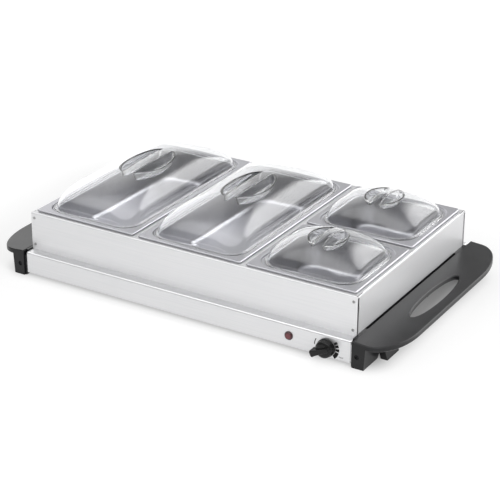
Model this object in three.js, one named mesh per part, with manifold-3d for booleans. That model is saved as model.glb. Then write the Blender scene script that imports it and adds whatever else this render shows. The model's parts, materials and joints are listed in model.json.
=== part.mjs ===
// Buffet server: a flat electric warming base with two moulded carrying handles, a lift-off steel rack,
// four steel pans that hang in it by their rims, and a clear domed lid for each pan.
// Millimetres, +Z up. The length runs along X, the front with the dial faces -Y, and z = 0 is the table.
import * as THREE from "three";
import { mergeVertices } from "three/addons/utils/BufferGeometryUtils.js";
import Module from "manifold-3d";

const wasm = await Module();
wasm.setup();

// Clearances
const overrun = 3;
const seatGap = 0.3;

// Facets round a full turn, and steps round a corner or along a curve
const turnedSides = 18;
const boreSides = 10;
const headSides = 8;
const shankSides = 6;
const elementSides = 6;
const elementTurnSteps = 5;
const lampNutSides = 6;
const cornerSteps = 4;
const sharpCornerSteps = 2;
const curveSteps = 6;
const bendSteps = 2;
const gripArcSteps = 6;

// Base
const baseLength = 532;
const baseDepth = 367;
const baseHeight = 31.7;
const baseClearance = 4.8;
const baseSheet = 0.8;
const baseBend = 2.5;
const basePlanRadius = 3;
const returnFlange = 14;

// Bottom cover and its fasteners
const coverInset = 3;
const coverSheet = 0.8;
const ventLength = 34;
const ventWidth = 3.5;
const ventPitch = 16;
const ventsPerRow = 4;
const ventRowFromEnd = 95;
const coverScrewInset = 9;
const coverScrewHeadRadius = 3.2;
const coverScrewHeadHeight = 1.6;
const coverScrewRadius = 1.4;
const coverScrewLength = 6;

// Heating parts
const spreaderMargin = 32;
const spreaderCorner = 16;
const spreaderSheet = 1.5;
const elementRadius = 3.2;
const elementEndMargin = 8;
const elementSideMargin = 50;
const elementRows = 4;
const elementTail = 16;
const clampWidth = 16;
const clampSheet = 1.2;
const clampOverhang = 9;
const clampFromTurn = 39;
const shieldMargin = 44;
const shieldCorner = 11;
const shieldSheet = 0.6;
const shieldRise = 8.5;

// Thermostat and dial
const dialFromRightEnd = 36;
const dialBelowTop = 17.8;
const shaftRadius = 3;
const shaftFlatDepth = 0.8;
const shaftBuried = 16;
const bushRadius = 5;
const thermostatRadius = 10.5;
const thermostatDepth = 19;
const thermostatEar = 2;
const spadeWidth = 4;
const spadeLength = 6;
const spadeSheet = 0.8;
const bracketSheet = 1.2;
const bracketWidth = 34;
const bracketHeight = 24;
const knobStandoff = 1.2;
const knobSkirtRadius = 13;
const knobSkirtDepth = 2.6;
const knobBodyRadius = 12.2;
const knobBodyDepth = 11;
const knobGripDepth = 15.5;
const knobGripWidth = 7;
const knobTipWidth = 9.8;
const knobTipReach = 18.7;
const knobTailReach = 11;
const knobTipAngle = 205;

// Indicator lamp
const lampFromRightEnd = 93;
const lampBelowTop = 16.2;
const lensRadius = 6.2;
const lensProud = 3;
const lensFlange = 1;
const lampBodyRadius = 4.6;
const lampBodyDepth = 17;
const lampNutRadius = 6.6;
const lampNutDepth = 3;

// Mains entry and terminal block
const glandFromRightEnd = 60;
const glandBelowTop = 15.7;
const glandRadius = 6.5;
const glandReach = 6;
const glandBore = 3.4;
const glandInner = 9;
const glandNeckRadius = 5;
const terminalLength = 36;
const terminalDepth = 16;
const terminalHeight = 13;
const terminalBore = 2;
const terminalWays = 3;
const terminalFromGland = 38;

// Handles
const handleReach = 61.5;
const handleFall = 4.5;
const handleOverhang = 2;
const handleProud = 2.5;
const handleRim = 7.5;
const handleWeb = 3.2;
const handleWall = 3.4;
const handleFrontCorner = 77;
const handleBackCorner = 90;
const handleSideGap = 2.4;
const handleFrontGap = 2.4;
const handleEdge = 1.2;
const slotFromBase = 22.2;
const slotFromEdge = 15.3;
const slotForward = 3.5;
const slotLength = 149;
const slotRingWall = 3;
const postWidth = 21.5;
const postNarrowing = 2.2;
const postFoot = 39;
const postShoulder = 62;
const postWall = 4;
const splayTopInner = 14;
const splayTopOuter = 22.5;
const splayFootInner = 24;
const splayFootOuter = 34.5;
const splayLength = 34;
const splayFromPost = 3;
const ribThickness = 2.4;
const ribPitch = 76;
const ribCount = 3;
const tabReach = 15;
const tabSheet = 2.4;
const tabHeight = 22;
const handleScrewHeadRadius = 3;
const handleScrewHeadHeight = 1.8;
const handleScrewRadius = 1.6;
const handleScrewLength = 9;
const handleScrewRecess = 2;
const handleScrewFromEnd = 9.3;
const handleScrewBelowTop = 19.5;

// Rack
const rackEndSetback = 1;
const rackSideSetback = 16.25;
const rackHeight = 57;
const rackSheet = 1;
const rackBend = 2.4;
const rackFlange = 16;
const rackCornerGap = 1.2;
const rackEndFlange = 14;
const dividerTopWidth = 17;
const dividerWeb = 2;
const dividerDrop = 13;
const rackScrewFromEnd = 5.5;
const rackScrewFromEdge = 8;
const rackScrewHeadRadius = 2.1;
const rackScrewHeadHeight = 1.1;
const rackScrewRadius = 1.2;
const rackScrewLength = 6;

// Pans
const panInset = 5.7;
const panGap = 7.9;
const panDepth = 51;
const panSheet = 0.8;
const panLip = 3.2;
const panOuterRadius = 4;
const panRim = 8;
const panStepSlope = 1;
const panStep = 2.4;
const panLedge = 6;
const panMouthRadius = 27;
const panMouthRound = 1.6;
const panTaper = 6;
const panFloorRound = 10;
const panFloorRadius = 24;

// Lids
const lidSheet = 1.8;
const lidEdgeGap = 0.8;
const lidFoot = 1.2;
const longLidCorner = 24;
const longLidRise = 40.3;
const longGripHalfLength = 54;
const longGripHalfWidth = 30.5;
const longGripDepth = 15;
const longGripRib = 15.5;
const smallLidCorner = 30;
const smallLidRise = 34.5;
const smallGripHalfLength = 33;
const smallGripHalfWidth = 26;
const smallGripDepth = 13;
const smallGripRib = 13;
const gripDraft = 3;

// Shares of the lid domes: the heights of their level curves, and the powers by which those curves
// shrink across and along from the foot to the crown and by which their corners round out
const domeLevelShares = [0.22, 0.44, 0.64, 0.8, 0.91, 0.98];
const crownRingShare = 0.04;
const longDomeShares = { widthFall: 3.3, widthRoot: 1.6, lengthFall: 2.6, lengthRoot: 2.2, corner: 1.45 };
const smallDomeShares = { widthFall: 2.9, widthRoot: 1.4, lengthFall: 2, lengthRoot: 1.85, corner: 1.55 };

// Shares of the knob: its body's radius and depth up the profile, and how its grip bar narrows
const knobSkirtLipShares = [[1, 0.7], [0.96, 1]];
const knobBodyShares = [[1, 0.24], [0.97, 0.66], [0.88, 0.86], [0.7, 1], [0, 1.08]];
const knobTailShare = 0.8;
const knobShoulderShare = 0.86;
const knobNoseShare = 1.04;

// Shares of the lens: radius and depth of its dome
const lensDomeShares = [[0.86, 0.75], [0.5, 1], [0, 1]];

// Levels and places worked out from the sizes above
const baseTop = baseClearance + baseHeight;
const frontFace = -baseDepth / 2;
const backFace = baseDepth / 2;
const rightEnd = baseLength / 2;
const rackLength = baseLength - 2 * rackEndSetback;
const rackDepth = baseDepth - 2 * rackSideSetback;
const rackEnd = rackLength / 2;
const rackTop = baseTop + rackHeight;
const panRimTop = rackTop + panLip;
const panWidth = (rackLength - 2 * panInset - 2 * panGap) / 3;
const longPanLength = rackDepth - 2 * panInset;
const smallPanLength = (longPanLength - panGap) / 2;
const panPitch = panWidth + panGap;
const panMouth = panRim + panStepSlope + panLedge;
const knobReach = knobStandoff + knobGripDepth;
const dialX = rightEnd - dialFromRightEnd;
const dialZ = baseTop - dialBelowTop;
const lampX = rightEnd - lampFromRightEnd;
const lampZ = baseTop - lampBelowTop;
const glandX = rightEnd - glandFromRightEnd;
const glandZ = baseTop - glandBelowTop;
const spreaderHalfX = rightEnd - spreaderMargin;
const spreaderHalfY = backFace - spreaderMargin;
const spreaderBottom = baseTop - baseSheet - spreaderSheet;
const elementZ = spreaderBottom - seatGap - elementRadius;
const elementRowPitch = (2 * (spreaderHalfY - elementSideMargin)) / (elementRows - 1);
const elementReachX = spreaderHalfX - elementEndMargin - elementRadius - elementRowPitch / 2;
const clampPitch = elementReachX - clampFromTurn;
const handleHalf = baseDepth / 2 + handleOverhang;
const handleScrewZ = baseTop - handleScrewBelowTop;
const slotWidth = handleReach - slotFromBase - slotFromEdge;
const slotCentre = slotFromBase + slotWidth / 2;
const plateTop = baseTop + handleProud;
const plateUnder = plateTop - handleWeb;
const plateMiddle = plateTop - handleWeb / 2;
const rimUnder = plateTop - handleRim;

// Materials
const steel = { color: 0xd6d7d9, metalness: 1, roughness: 0.34 };
const panSteel = { color: 0xb9babd, metalness: 1, roughness: 0.28 };
const darkSteel = { color: 0x8f9194, metalness: 1, roughness: 0.45 };
const blackenedSteel = { color: 0x2c2d2f, metalness: 1, roughness: 0.5 };
const aluminium = { color: 0xc9cbcd, metalness: 1, roughness: 0.5 };
const blackPlastic = { color: 0x333436, metalness: 0, roughness: 0.42 };
const dialPlastic = { color: 0x1b1b1c, metalness: 0, roughness: 0.36 };
const clearPlastic = { color: 0xf2f5f6, metalness: 0, roughness: 0.05, transparent: true, opacity: 0.3 };
const redPlastic = { color: 0x8c1420, metalness: 0, roughness: 0.15 };
const palePlastic = { color: 0xe8e4da, metalness: 0, roughness: 0.5 };

// Solids from closed meshes, and back
function bare(geometry) {
  const plain = geometry.clone();
  plain.deleteAttribute("normal");
  plain.deleteAttribute("uv");
  const merged = mergeVertices(plain, 1e-4);
  if (merged.index) return merged;
  return merged.setIndex(Array.from({ length: merged.attributes.position.count }, (_, i) => i));
}

function asManifold(plain) {
  return new wasm.Manifold(
    new wasm.Mesh({
      numProp: 3,
      vertProperties: new Float32Array(plain.attributes.position.array),
      triVerts: new Uint32Array(plain.index.array),
    }),
  );
}

// The closed solid of a geometry, with its faces turned out whichever way it was wound
function solidOf(geometry) {
  const plain = bare(geometry);
  const solid = asManifold(plain);
  if (solid.volume() > 0) return solid;
  const index = plain.index.array;
  for (let i = 0; i < index.length; i += 3) {
    [index[i + 1], index[i + 2]] = [index[i + 2], index[i + 1]];
  }
  return asManifold(plain);
}

function geometryOf(solid) {
  const made = solid.getMesh();
  const positions = new Float32Array(made.numVert * 3);
  for (let i = 0; i < made.numVert; i++) {
    positions.set(made.vertProperties.subarray(i * made.numProp, i * made.numProp + 3), i * 3);
  }
  const geometry = new THREE.BufferGeometry();
  geometry.setAttribute("position", new THREE.BufferAttribute(positions, 3));
  geometry.setIndex(new THREE.BufferAttribute(new Uint32Array(made.triVerts), 1));
  const flat = geometry.toNonIndexed();
  flat.computeVertexNormals();
  return flat;
}

function joined(...pieces) {
  return pieces.reduce((sum, piece) => sum.add(piece));
}

function cutBy(body, ...tools) {
  return tools.reduce((rest, tool) => rest.subtract(tool), body);
}

function moved(solid, matrix) {
  return solidOf(geometryOf(solid).applyMatrix4(matrix));
}

function shifted(solid, x, y, z) {
  return moved(solid, new THREE.Matrix4().makeTranslation(x, y, z));
}

function mirroredX(solid) {
  return moved(solid, new THREE.Matrix4().makeScale(-1, 1, 1));
}

function mirroredY(solid) {
  return moved(solid, new THREE.Matrix4().makeScale(1, -1, 1));
}

// The two ends of a stretch that runs a distance from a start in the given sense, in rising order
function stretch(start, sense, distance) {
  const finish = start + sense * distance;
  return [Math.min(start, finish), Math.max(start, finish)];
}

// Basic forms, each given by where its faces lie
function block(x0, x1, y0, y1, z0, z1) {
  const geometry = new THREE.BoxGeometry(x1 - x0, y1 - y0, z1 - z0);
  geometry.translate((x0 + x1) / 2, (y0 + y1) / 2, (z0 + z1) / 2);
  return solidOf(geometry);
}

function roundAlongY(radius, x, z, y0, y1, sides) {
  const geometry = new THREE.CylinderGeometry(radius, radius, y1 - y0, sides);
  geometry.translate(x, (y0 + y1) / 2, z);
  return solidOf(geometry);
}

function roundAlongZ(radius, x, y, z0, z1, sides) {
  const geometry = new THREE.CylinderGeometry(radius, radius, z1 - z0, sides);
  geometry.rotateX(Math.PI / 2);
  geometry.translate(x, y, (z0 + z1) / 2);
  return solidOf(geometry);
}

// A turned form whose axis points to -Y from the origin: its profile lists radius and distance
function turnedTowardsFront(profile) {
  const points = profile.map(([radius, along]) => new THREE.Vector2(radius, along));
  return solidOf(new THREE.LatheGeometry(points, turnedSides).rotateX(Math.PI));
}

// Extrusions: an outline in plan raised from z0 to z1, one in Y and Z along X, and one in X and Z along Y
function extruded(shape, length, steps, edge = 0) {
  return new THREE.ExtrudeGeometry(shape, {
    depth: length - 2 * edge,
    curveSegments: steps,
    bevelEnabled: edge > 0,
    bevelThickness: edge,
    bevelSize: edge,
    bevelOffset: -edge,
    bevelSegments: 1,
  }).translate(0, 0, edge);
}

function raised(shape, z0, z1, edge = 0) {
  return solidOf(extruded(shape, z1 - z0, curveSteps, edge).translate(0, 0, z0));
}

function alongX(shape, x0, x1) {
  const axes = new THREE.Matrix4().makeBasis(
    new THREE.Vector3(0, 1, 0),
    new THREE.Vector3(0, 0, 1),
    new THREE.Vector3(1, 0, 0),
  );
  return solidOf(extruded(shape, x1 - x0, bendSteps).applyMatrix4(axes).translate(x0, 0, 0));
}

function alongY(shape, y0, y1, steps = bendSteps) {
  const axes = new THREE.Matrix4().makeBasis(
    new THREE.Vector3(1, 0, 0),
    new THREE.Vector3(0, 0, 1),
    new THREE.Vector3(0, -1, 0),
  );
  return solidOf(extruded(shape, y1 - y0, steps).applyMatrix4(axes).translate(0, y1, 0));
}

function polygon(points) {
  return new THREE.Shape(points.map(([a, b]) => new THREE.Vector2(a, b)));
}

// Rings: closed level curves with the same number of points, so that two of them can be skinned
function roundedRing(halfX, halfY, radius, z, steps = cornerSteps) {
  const points = [];
  const corner = Math.min(radius, halfX, halfY);
  const signs = [[1, 1], [-1, 1], [-1, -1], [1, -1]];
  signs.forEach(([signX, signY], quarter) => {
    for (let step = 0; step <= steps; step++) {
      const angle = (quarter + step / steps) * (Math.PI / 2);
      points.push([
        signX * (halfX - corner) + corner * Math.cos(angle),
        signY * (halfY - corner) + corner * Math.sin(angle),
        z,
      ]);
    }
  });
  return points;
}

// Rings round a rectangle, from rows of inset, height and corner radius
function ringsFrom(halfX, halfY, rows, steps = cornerSteps) {
  return rows.map(([inset, z, radius]) => roundedRing(halfX - inset, halfY - inset, radius, z, steps));
}

// Skins a list of rings, closing the first and the last with a fan about its centre
function skinned(rings) {
  const count = rings[0].length;
  const positions = rings.flat(2);
  const index = [];
  for (let level = 0; level + 1 < rings.length; level++) {
    for (let i = 0; i < count; i++) {
      const next = (i + 1) % count;
      const a = level * count + i;
      const b = level * count + next;
      const c = (level + 1) * count + i;
      const d = (level + 1) * count + next;
      index.push(a, b, d, a, d, c);
    }
  }
  [0, rings.length - 1].forEach((level) => {
    const ring = rings[level];
    const centre = [0, 1, 2].map((axis) => ring.reduce((sum, point) => sum + point[axis], 0) / count);
    const middle = positions.length / 3;
    positions.push(...centre);
    for (let i = 0; i < count; i++) {
      const a = level * count + i;
      const b = level * count + ((i + 1) % count);
      if (level === 0) index.push(middle, b, a);
      else index.push(middle, a, b);
    }
  });
  const geometry = new THREE.BufferGeometry();
  geometry.setAttribute("position", new THREE.BufferAttribute(new Float32Array(positions), 3));
  geometry.setIndex(index);
  return solidOf(geometry);
}

// The assembly
const server = new THREE.Group();
server.name = "buffet_server";

function place(parent, name, body, finish, at = [0, 0, 0]) {
  const mesh = new THREE.Mesh(geometryOf(body), new THREE.MeshStandardMaterial(finish));
  mesh.name = name;
  mesh.position.set(...at);
  parent.add(mesh);
}

// Base shell: a pressed sheet box, open below, with a flange turned in round its lower edge
// and a tab at each corner that reaches into a handle post
function baseShell() {
  const bottom = baseClearance;
  const wall = baseSheet;
  const bendIn = baseBend * (1 - Math.SQRT1_2);
  const innerRadius = basePlanRadius - wall;
  const rows = [
    [baseBend, baseTop, basePlanRadius],
    [bendIn, baseTop - bendIn, basePlanRadius],
    [0, baseTop - baseBend, basePlanRadius],
    [0, bottom, basePlanRadius],
    [returnFlange, bottom, innerRadius],
    [returnFlange, bottom + wall, innerRadius],
    [wall, bottom + wall, innerRadius],
    [wall, baseTop - baseBend, innerRadius],
    [wall + bendIn, baseTop - wall - bendIn, innerRadius],
    [baseBend, baseTop - wall, innerRadius],
  ];
  const shell = skinned(ringsFrom(rightEnd, backFace, rows, sharpCornerSteps));
  const tabs = handleTabPlaces().map(([side, end]) => {
    const [x0, x1] = stretch(side * (rightEnd - wall), side, wall + tabReach);
    const [y0, y1] = tabFaces(end);
    return block(x0, x1, y0, y1, handleScrewZ - tabHeight / 2, handleScrewZ + tabHeight / 2);
  });
  const through = (radius, x, z, face) =>
    roundAlongY(radius + seatGap, x, z, face - overrun, face + overrun, boreSides);
  const holes = [
    through(bushRadius, dialX, dialZ, frontFace),
    through(lampBodyRadius, lampX, lampZ, frontFace),
    through(glandNeckRadius, glandX, glandZ, backFace),
    ...handleTabPlaces().map(([side, end]) =>
      through(handleScrewRadius, side * (rightEnd + handleScrewFromEnd), handleScrewZ, tabFaces(end)[0]),
    ),
    ...coverScrewPlaces().map(([x, y]) => coverScrewHole(x, y, bottom)),
  ];
  return cutBy(joined(shell, ...tabs), ...holes);
}

function handleTabPlaces() {
  return [[1, -1], [1, 1], [-1, -1], [-1, 1]];
}

// The two faces of a handle tab along Y: it lies behind the post's outer wall
function tabFaces(end) {
  return stretch(end * (handleHalf - postWall - seatGap), -end, tabSheet);
}

function coverScrewPlaces() {
  const x = rightEnd - coverScrewInset;
  const y = backFace - coverScrewInset;
  return [[-x, -y], [0, -y], [x, -y], [-x, y], [0, y], [x, y]];
}

function coverScrewHole(x, y, z) {
  return roundAlongZ(coverScrewRadius + seatGap, x, y, z - overrun, z + overrun, shankSides);
}

// Bottom cover: a plain sheet under the flange, with two rows of air slots
function bottomCover() {
  const top = baseClearance;
  const halfX = rightEnd - coverInset;
  const halfY = backFace - coverInset;
  const rows = [
    [0, top, basePlanRadius],
    [0, top - coverSheet, basePlanRadius],
  ];
  const plate = skinned(ringsFrom(halfX, halfY, rows, sharpCornerSteps));
  const slots = [-1, 1].flatMap((side) =>
    Array.from({ length: ventsPerRow }, (_, i) => {
      const x = side * (rightEnd - ventRowFromEnd);
      const y = (i - (ventsPerRow - 1) / 2) * ventPitch;
      const [x0, x1] = [x - ventLength / 2, x + ventLength / 2];
      return block(x0, x1, y - ventWidth / 2, y + ventWidth / 2, top - coverSheet - overrun, top + overrun);
    }),
  );
  const holes = coverScrewPlaces().map(([x, y]) => coverScrewHole(x, y, top));
  return cutBy(plate, ...slots, ...holes);
}

function coverScrew() {
  const seat = baseClearance - coverSheet;
  const under = seat - coverScrewHeadHeight;
  const middle = (under + seat) / 2;
  return joined(
    roundAlongZ(coverScrewHeadRadius, 0, 0, under, seat, headSides),
    roundAlongZ(coverScrewRadius, 0, 0, middle, seat + coverScrewLength, shankSides),
  );
}

// Heat spreader: an aluminium sheet pressed against the underside of the top
function heatSpreader() {
  const rows = [
    [0, baseTop - baseSheet, spreaderCorner],
    [0, spreaderBottom, spreaderCorner],
  ];
  return skinned(ringsFrom(spreaderHalfX, spreaderHalfY, rows));
}

// Heating element: one sheathed rod in rows along X, joined by half circles
function elementRoute() {
  const radius = elementRowPitch / 2;
  const firstRow = (-(elementRows - 1) / 2) * elementRowPitch;
  const at = (x, y) => new THREE.Vector3(x, y, elementZ);
  const points = [at(elementReachX + elementTail, firstRow)];
  for (let row = 0; row < elementRows; row++) {
    const y = firstRow + row * elementRowPitch;
    const towards = row % 2 === 0 ? -1 : 1;
    points.push(at(-towards * elementReachX, y), at(towards * elementReachX, y));
    if (row + 1 === elementRows) continue;
    for (let step = 1; step < elementTurnSteps; step++) {
      const angle = -Math.PI / 2 + (Math.PI * step) / elementTurnSteps;
      const x = towards * (elementReachX + radius * Math.cos(angle));
      points.push(at(x, y + radius + radius * Math.sin(angle)));
    }
  }
  points.push(at(elementReachX + elementTail, -firstRow));
  return points;
}

// A round rod swept through flat points: each ring lies across the mean of its two stretches
function rodThrough(points, radius, sides) {
  const up = new THREE.Vector3(0, 0, 1);
  const rings = points.map((point, i) => {
    const before = points[Math.max(i - 1, 0)];
    const after = points[Math.min(i + 1, points.length - 1)];
    const ahead = after.clone().sub(before).normalize();
    const across = new THREE.Vector3().crossVectors(ahead, up);
    return Array.from({ length: sides }, (_, k) => {
      const angle = (2 * Math.PI * k) / sides;
      const offset = across.clone().multiplyScalar(radius * Math.cos(angle));
      return point.clone().add(offset).addScaledVector(up, radius * Math.sin(angle)).toArray();
    });
  });
  return skinned(rings);
}

// Element clamp: a strap under the rods with a leg at each end that reaches the spreader
function elementClamp() {
  const half = ((elementRows - 1) / 2) * elementRowPitch + elementRadius + clampOverhang;
  const under = elementZ - elementRadius - seatGap;
  const strap = block(-clampWidth / 2, clampWidth / 2, -half, half, under - clampSheet, under);
  const legs = [-1, 1].map((end) => {
    const [y0, y1] = stretch(end * half, -end, clampSheet);
    return block(-clampWidth / 2, clampWidth / 2, y0, y1, under - clampSheet, spreaderBottom);
  });
  return joined(strap, ...legs);
}

// Heat shield: a shallow upturned tray that stands on the bottom cover under the element
function heatShield() {
  const top = baseClearance + shieldRise;
  const rows = [
    [0, top, shieldCorner],
    [0, baseClearance, shieldCorner],
    [shieldSheet, baseClearance, shieldCorner - shieldSheet],
    [shieldSheet, top - shieldSheet, shieldCorner - shieldSheet],
  ];
  return skinned(ringsFrom(rightEnd - shieldMargin, backFace - shieldMargin, rows));
}

// Thermostat: bracket against the front wall, body behind it, a bush through both, and the turning shaft
function thermostatBracket() {
  const [y0, y1] = stretch(frontFace + baseSheet, 1, bracketSheet);
  const [x0, x1] = [dialX - bracketWidth / 2, dialX + bracketWidth / 2];
  const plate = block(x0, x1, y0, y1, dialZ - bracketHeight / 2, dialZ + bracketHeight / 2);
  const bore = roundAlongY(bushRadius + seatGap, dialX, dialZ, y0 - overrun, y1 + overrun, boreSides);
  return plate.subtract(bore);
}

function thermostatBody() {
  const front = frontFace + baseSheet + bracketSheet;
  const back = front + thermostatDepth;
  const ear = thermostatRadius + thermostatEar;
  const can = roundAlongY(thermostatRadius, dialX, dialZ, front, back, turnedSides);
  const bush = roundAlongY(bushRadius, dialX, dialZ, frontFace, front + overrun, boreSides);
  const [z0, z1] = [dialZ - bushRadius, dialZ + bushRadius];
  const ears = block(dialX - ear, dialX + ear, front, front + bracketSheet, z0, z1);
  const spades = [-1, 1].map((side) => {
    const x = dialX + side * spadeWidth;
    const [under, over] = [dialZ - spadeSheet / 2, dialZ + spadeSheet / 2];
    return block(x - spadeWidth / 2, x + spadeWidth / 2, back - overrun, back + spadeLength, under, over);
  });
  const boreEnd = frontFace + shaftBuried + seatGap;
  const bore = roundAlongY(shaftRadius + seatGap, dialX, dialZ, frontFace - overrun, boreEnd, boreSides);
  return cutBy(joined(can, bush, ears, ...spades), bore);
}

function thermostatShaft() {
  const tip = frontFace - knobStandoff - knobBodyDepth;
  const wide = shaftRadius + overrun;
  const rod = roundAlongY(shaftRadius, dialX, dialZ, tip, frontFace + shaftBuried, boreSides);
  const flatZ = dialZ + shaftRadius - shaftFlatDepth;
  const flatEnd = frontFace - knobStandoff;
  const flat = block(dialX - wide, dialX + wide, tip - overrun, flatEnd, flatZ, dialZ + wide);
  return rod.subtract(flat);
}

// Dial knob: a flat skirt, a domed body and a grip bar whose long end points at the scale
function controlKnob() {
  const profile = [
    [0, 0],
    [knobSkirtRadius, 0],
    ...knobSkirtLipShares.map(([radius, depth]) => [radius * knobSkirtRadius, depth * knobSkirtDepth]),
    ...knobBodyShares.map(([radius, depth]) => [radius * knobBodyRadius, depth * knobBodyDepth]),
  ];
  const half = knobGripWidth / 2;
  const tip = knobTipWidth / 2;
  const shoulder = knobTipReach * knobShoulderShare;
  const tail = half * knobTailShare;
  const outline = new THREE.Shape();
  outline.moveTo(-knobTailReach, -tail);
  outline.quadraticCurveTo(-knobTailReach / 2, -half, 0, -half);
  outline.quadraticCurveTo(knobBodyRadius, -half, shoulder, -tip);
  outline.quadraticCurveTo(knobTipReach * knobNoseShare, 0, shoulder, tip);
  outline.quadraticCurveTo(knobBodyRadius, half, 0, half);
  outline.quadraticCurveTo(-knobTailReach / 2, half, -knobTailReach, tail);
  outline.closePath();
  const bar = alongY(outline, -knobGripDepth, -knobSkirtDepth / 2, curveSteps);
  const turn = new THREE.Matrix4().makeRotationY(-THREE.MathUtils.degToRad(knobTipAngle));
  const turned = moved(joined(turnedTowardsFront(profile), bar), turn);
  const back = frontFace - knobStandoff;
  const boreEnd = back - knobBodyDepth;
  const bore = roundAlongY(shaftRadius + seatGap, dialX, dialZ, boreEnd, back + overrun, boreSides);
  return shifted(turned, dialX, back, dialZ).subtract(bore);
}

// Indicator: a domed lens outside, its stem through the wall and a push-on nut behind
function indicatorLens() {
  const profile = [
    [0, 0],
    [lensRadius, 0],
    [lensRadius, lensFlange],
    ...lensDomeShares.map(([radius, depth]) => [radius * lensRadius, depth * lensProud]),
  ];
  return shifted(turnedTowardsFront(profile), lampX, frontFace, lampZ);
}

function indicatorBody() {
  return roundAlongY(lampBodyRadius, lampX, lampZ, frontFace, frontFace + lampBodyDepth, boreSides);
}

function indicatorNut() {
  const [y0, y1] = stretch(frontFace + baseSheet, 1, lampNutDepth);
  const nut = roundAlongY(lampNutRadius, lampX, lampZ, y0, y1, lampNutSides);
  const bore = roundAlongY(lampBodyRadius + seatGap, lampX, lampZ, y0 - overrun, y1 + overrun, boreSides);
  return nut.subtract(bore);
}

// Mains entry at the back: a flanged bush with an open bore, and the terminal block inside
function cordGland() {
  const outside = backFace + glandReach;
  const inside = backFace - glandInner;
  const collar = roundAlongY(glandRadius, glandX, glandZ, backFace, outside, turnedSides);
  const neck = roundAlongY(glandNeckRadius, glandX, glandZ, inside, backFace + glandReach / 2, boreSides);
  const bore = roundAlongY(glandBore, glandX, glandZ, inside - overrun, outside + overrun, boreSides);
  return joined(collar, neck).subtract(bore);
}

function terminalBlock() {
  const x = glandX - terminalFromGland;
  const [y0, y1] = stretch(backFace - baseSheet, -1, terminalDepth);
  const [z0, z1] = stretch(baseClearance + baseSheet, 1, terminalHeight);
  const body = block(x - terminalLength / 2, x + terminalLength / 2, y0, y1, z0, z1);
  const bores = Array.from({ length: terminalWays }, (_, i) => {
    const along = ((i + 1 / 2) / terminalWays - 1 / 2) * terminalLength;
    return roundAlongZ(terminalBore, x + along, (y0 + y1) / 2, (z0 + z1) / 2, z1 + overrun, headSides);
  });
  return cutBy(body, ...bores);
}

// Handle outline in plan: X runs out from the end of the base, Y along it from the middle,
// and the outer corners are quarters of long ovals
function handleOutline(inset) {
  const half = handleHalf - inset;
  const across = handleReach - inset - postWidth;
  const shape = new THREE.Shape();
  shape.moveTo(handleSideGap + inset, -half);
  shape.lineTo(postWidth, -half);
  shape.absellipse(postWidth, handleFrontCorner - half, across, handleFrontCorner, -Math.PI / 2, 0);
  shape.lineTo(postWidth + across, half - handleBackCorner);
  shape.absellipse(postWidth, half - handleBackCorner, across, handleBackCorner, 0, Math.PI / 2);
  shape.lineTo(handleSideGap + inset, half);
  shape.closePath();
  return shape;
}

// The finger slot as two half-ovals, so that its long sides keep enough steps
function slotOutline(grow, Kind) {
  const across = slotWidth / 2 + grow;
  const along = slotLength / 2 + grow;
  const slot = new Kind();
  slot.absellipse(slotCentre, -slotForward, across, along, 0, Math.PI);
  slot.absellipse(slotCentre, -slotForward, across, along, Math.PI, 2 * Math.PI);
  return slot;
}

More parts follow.
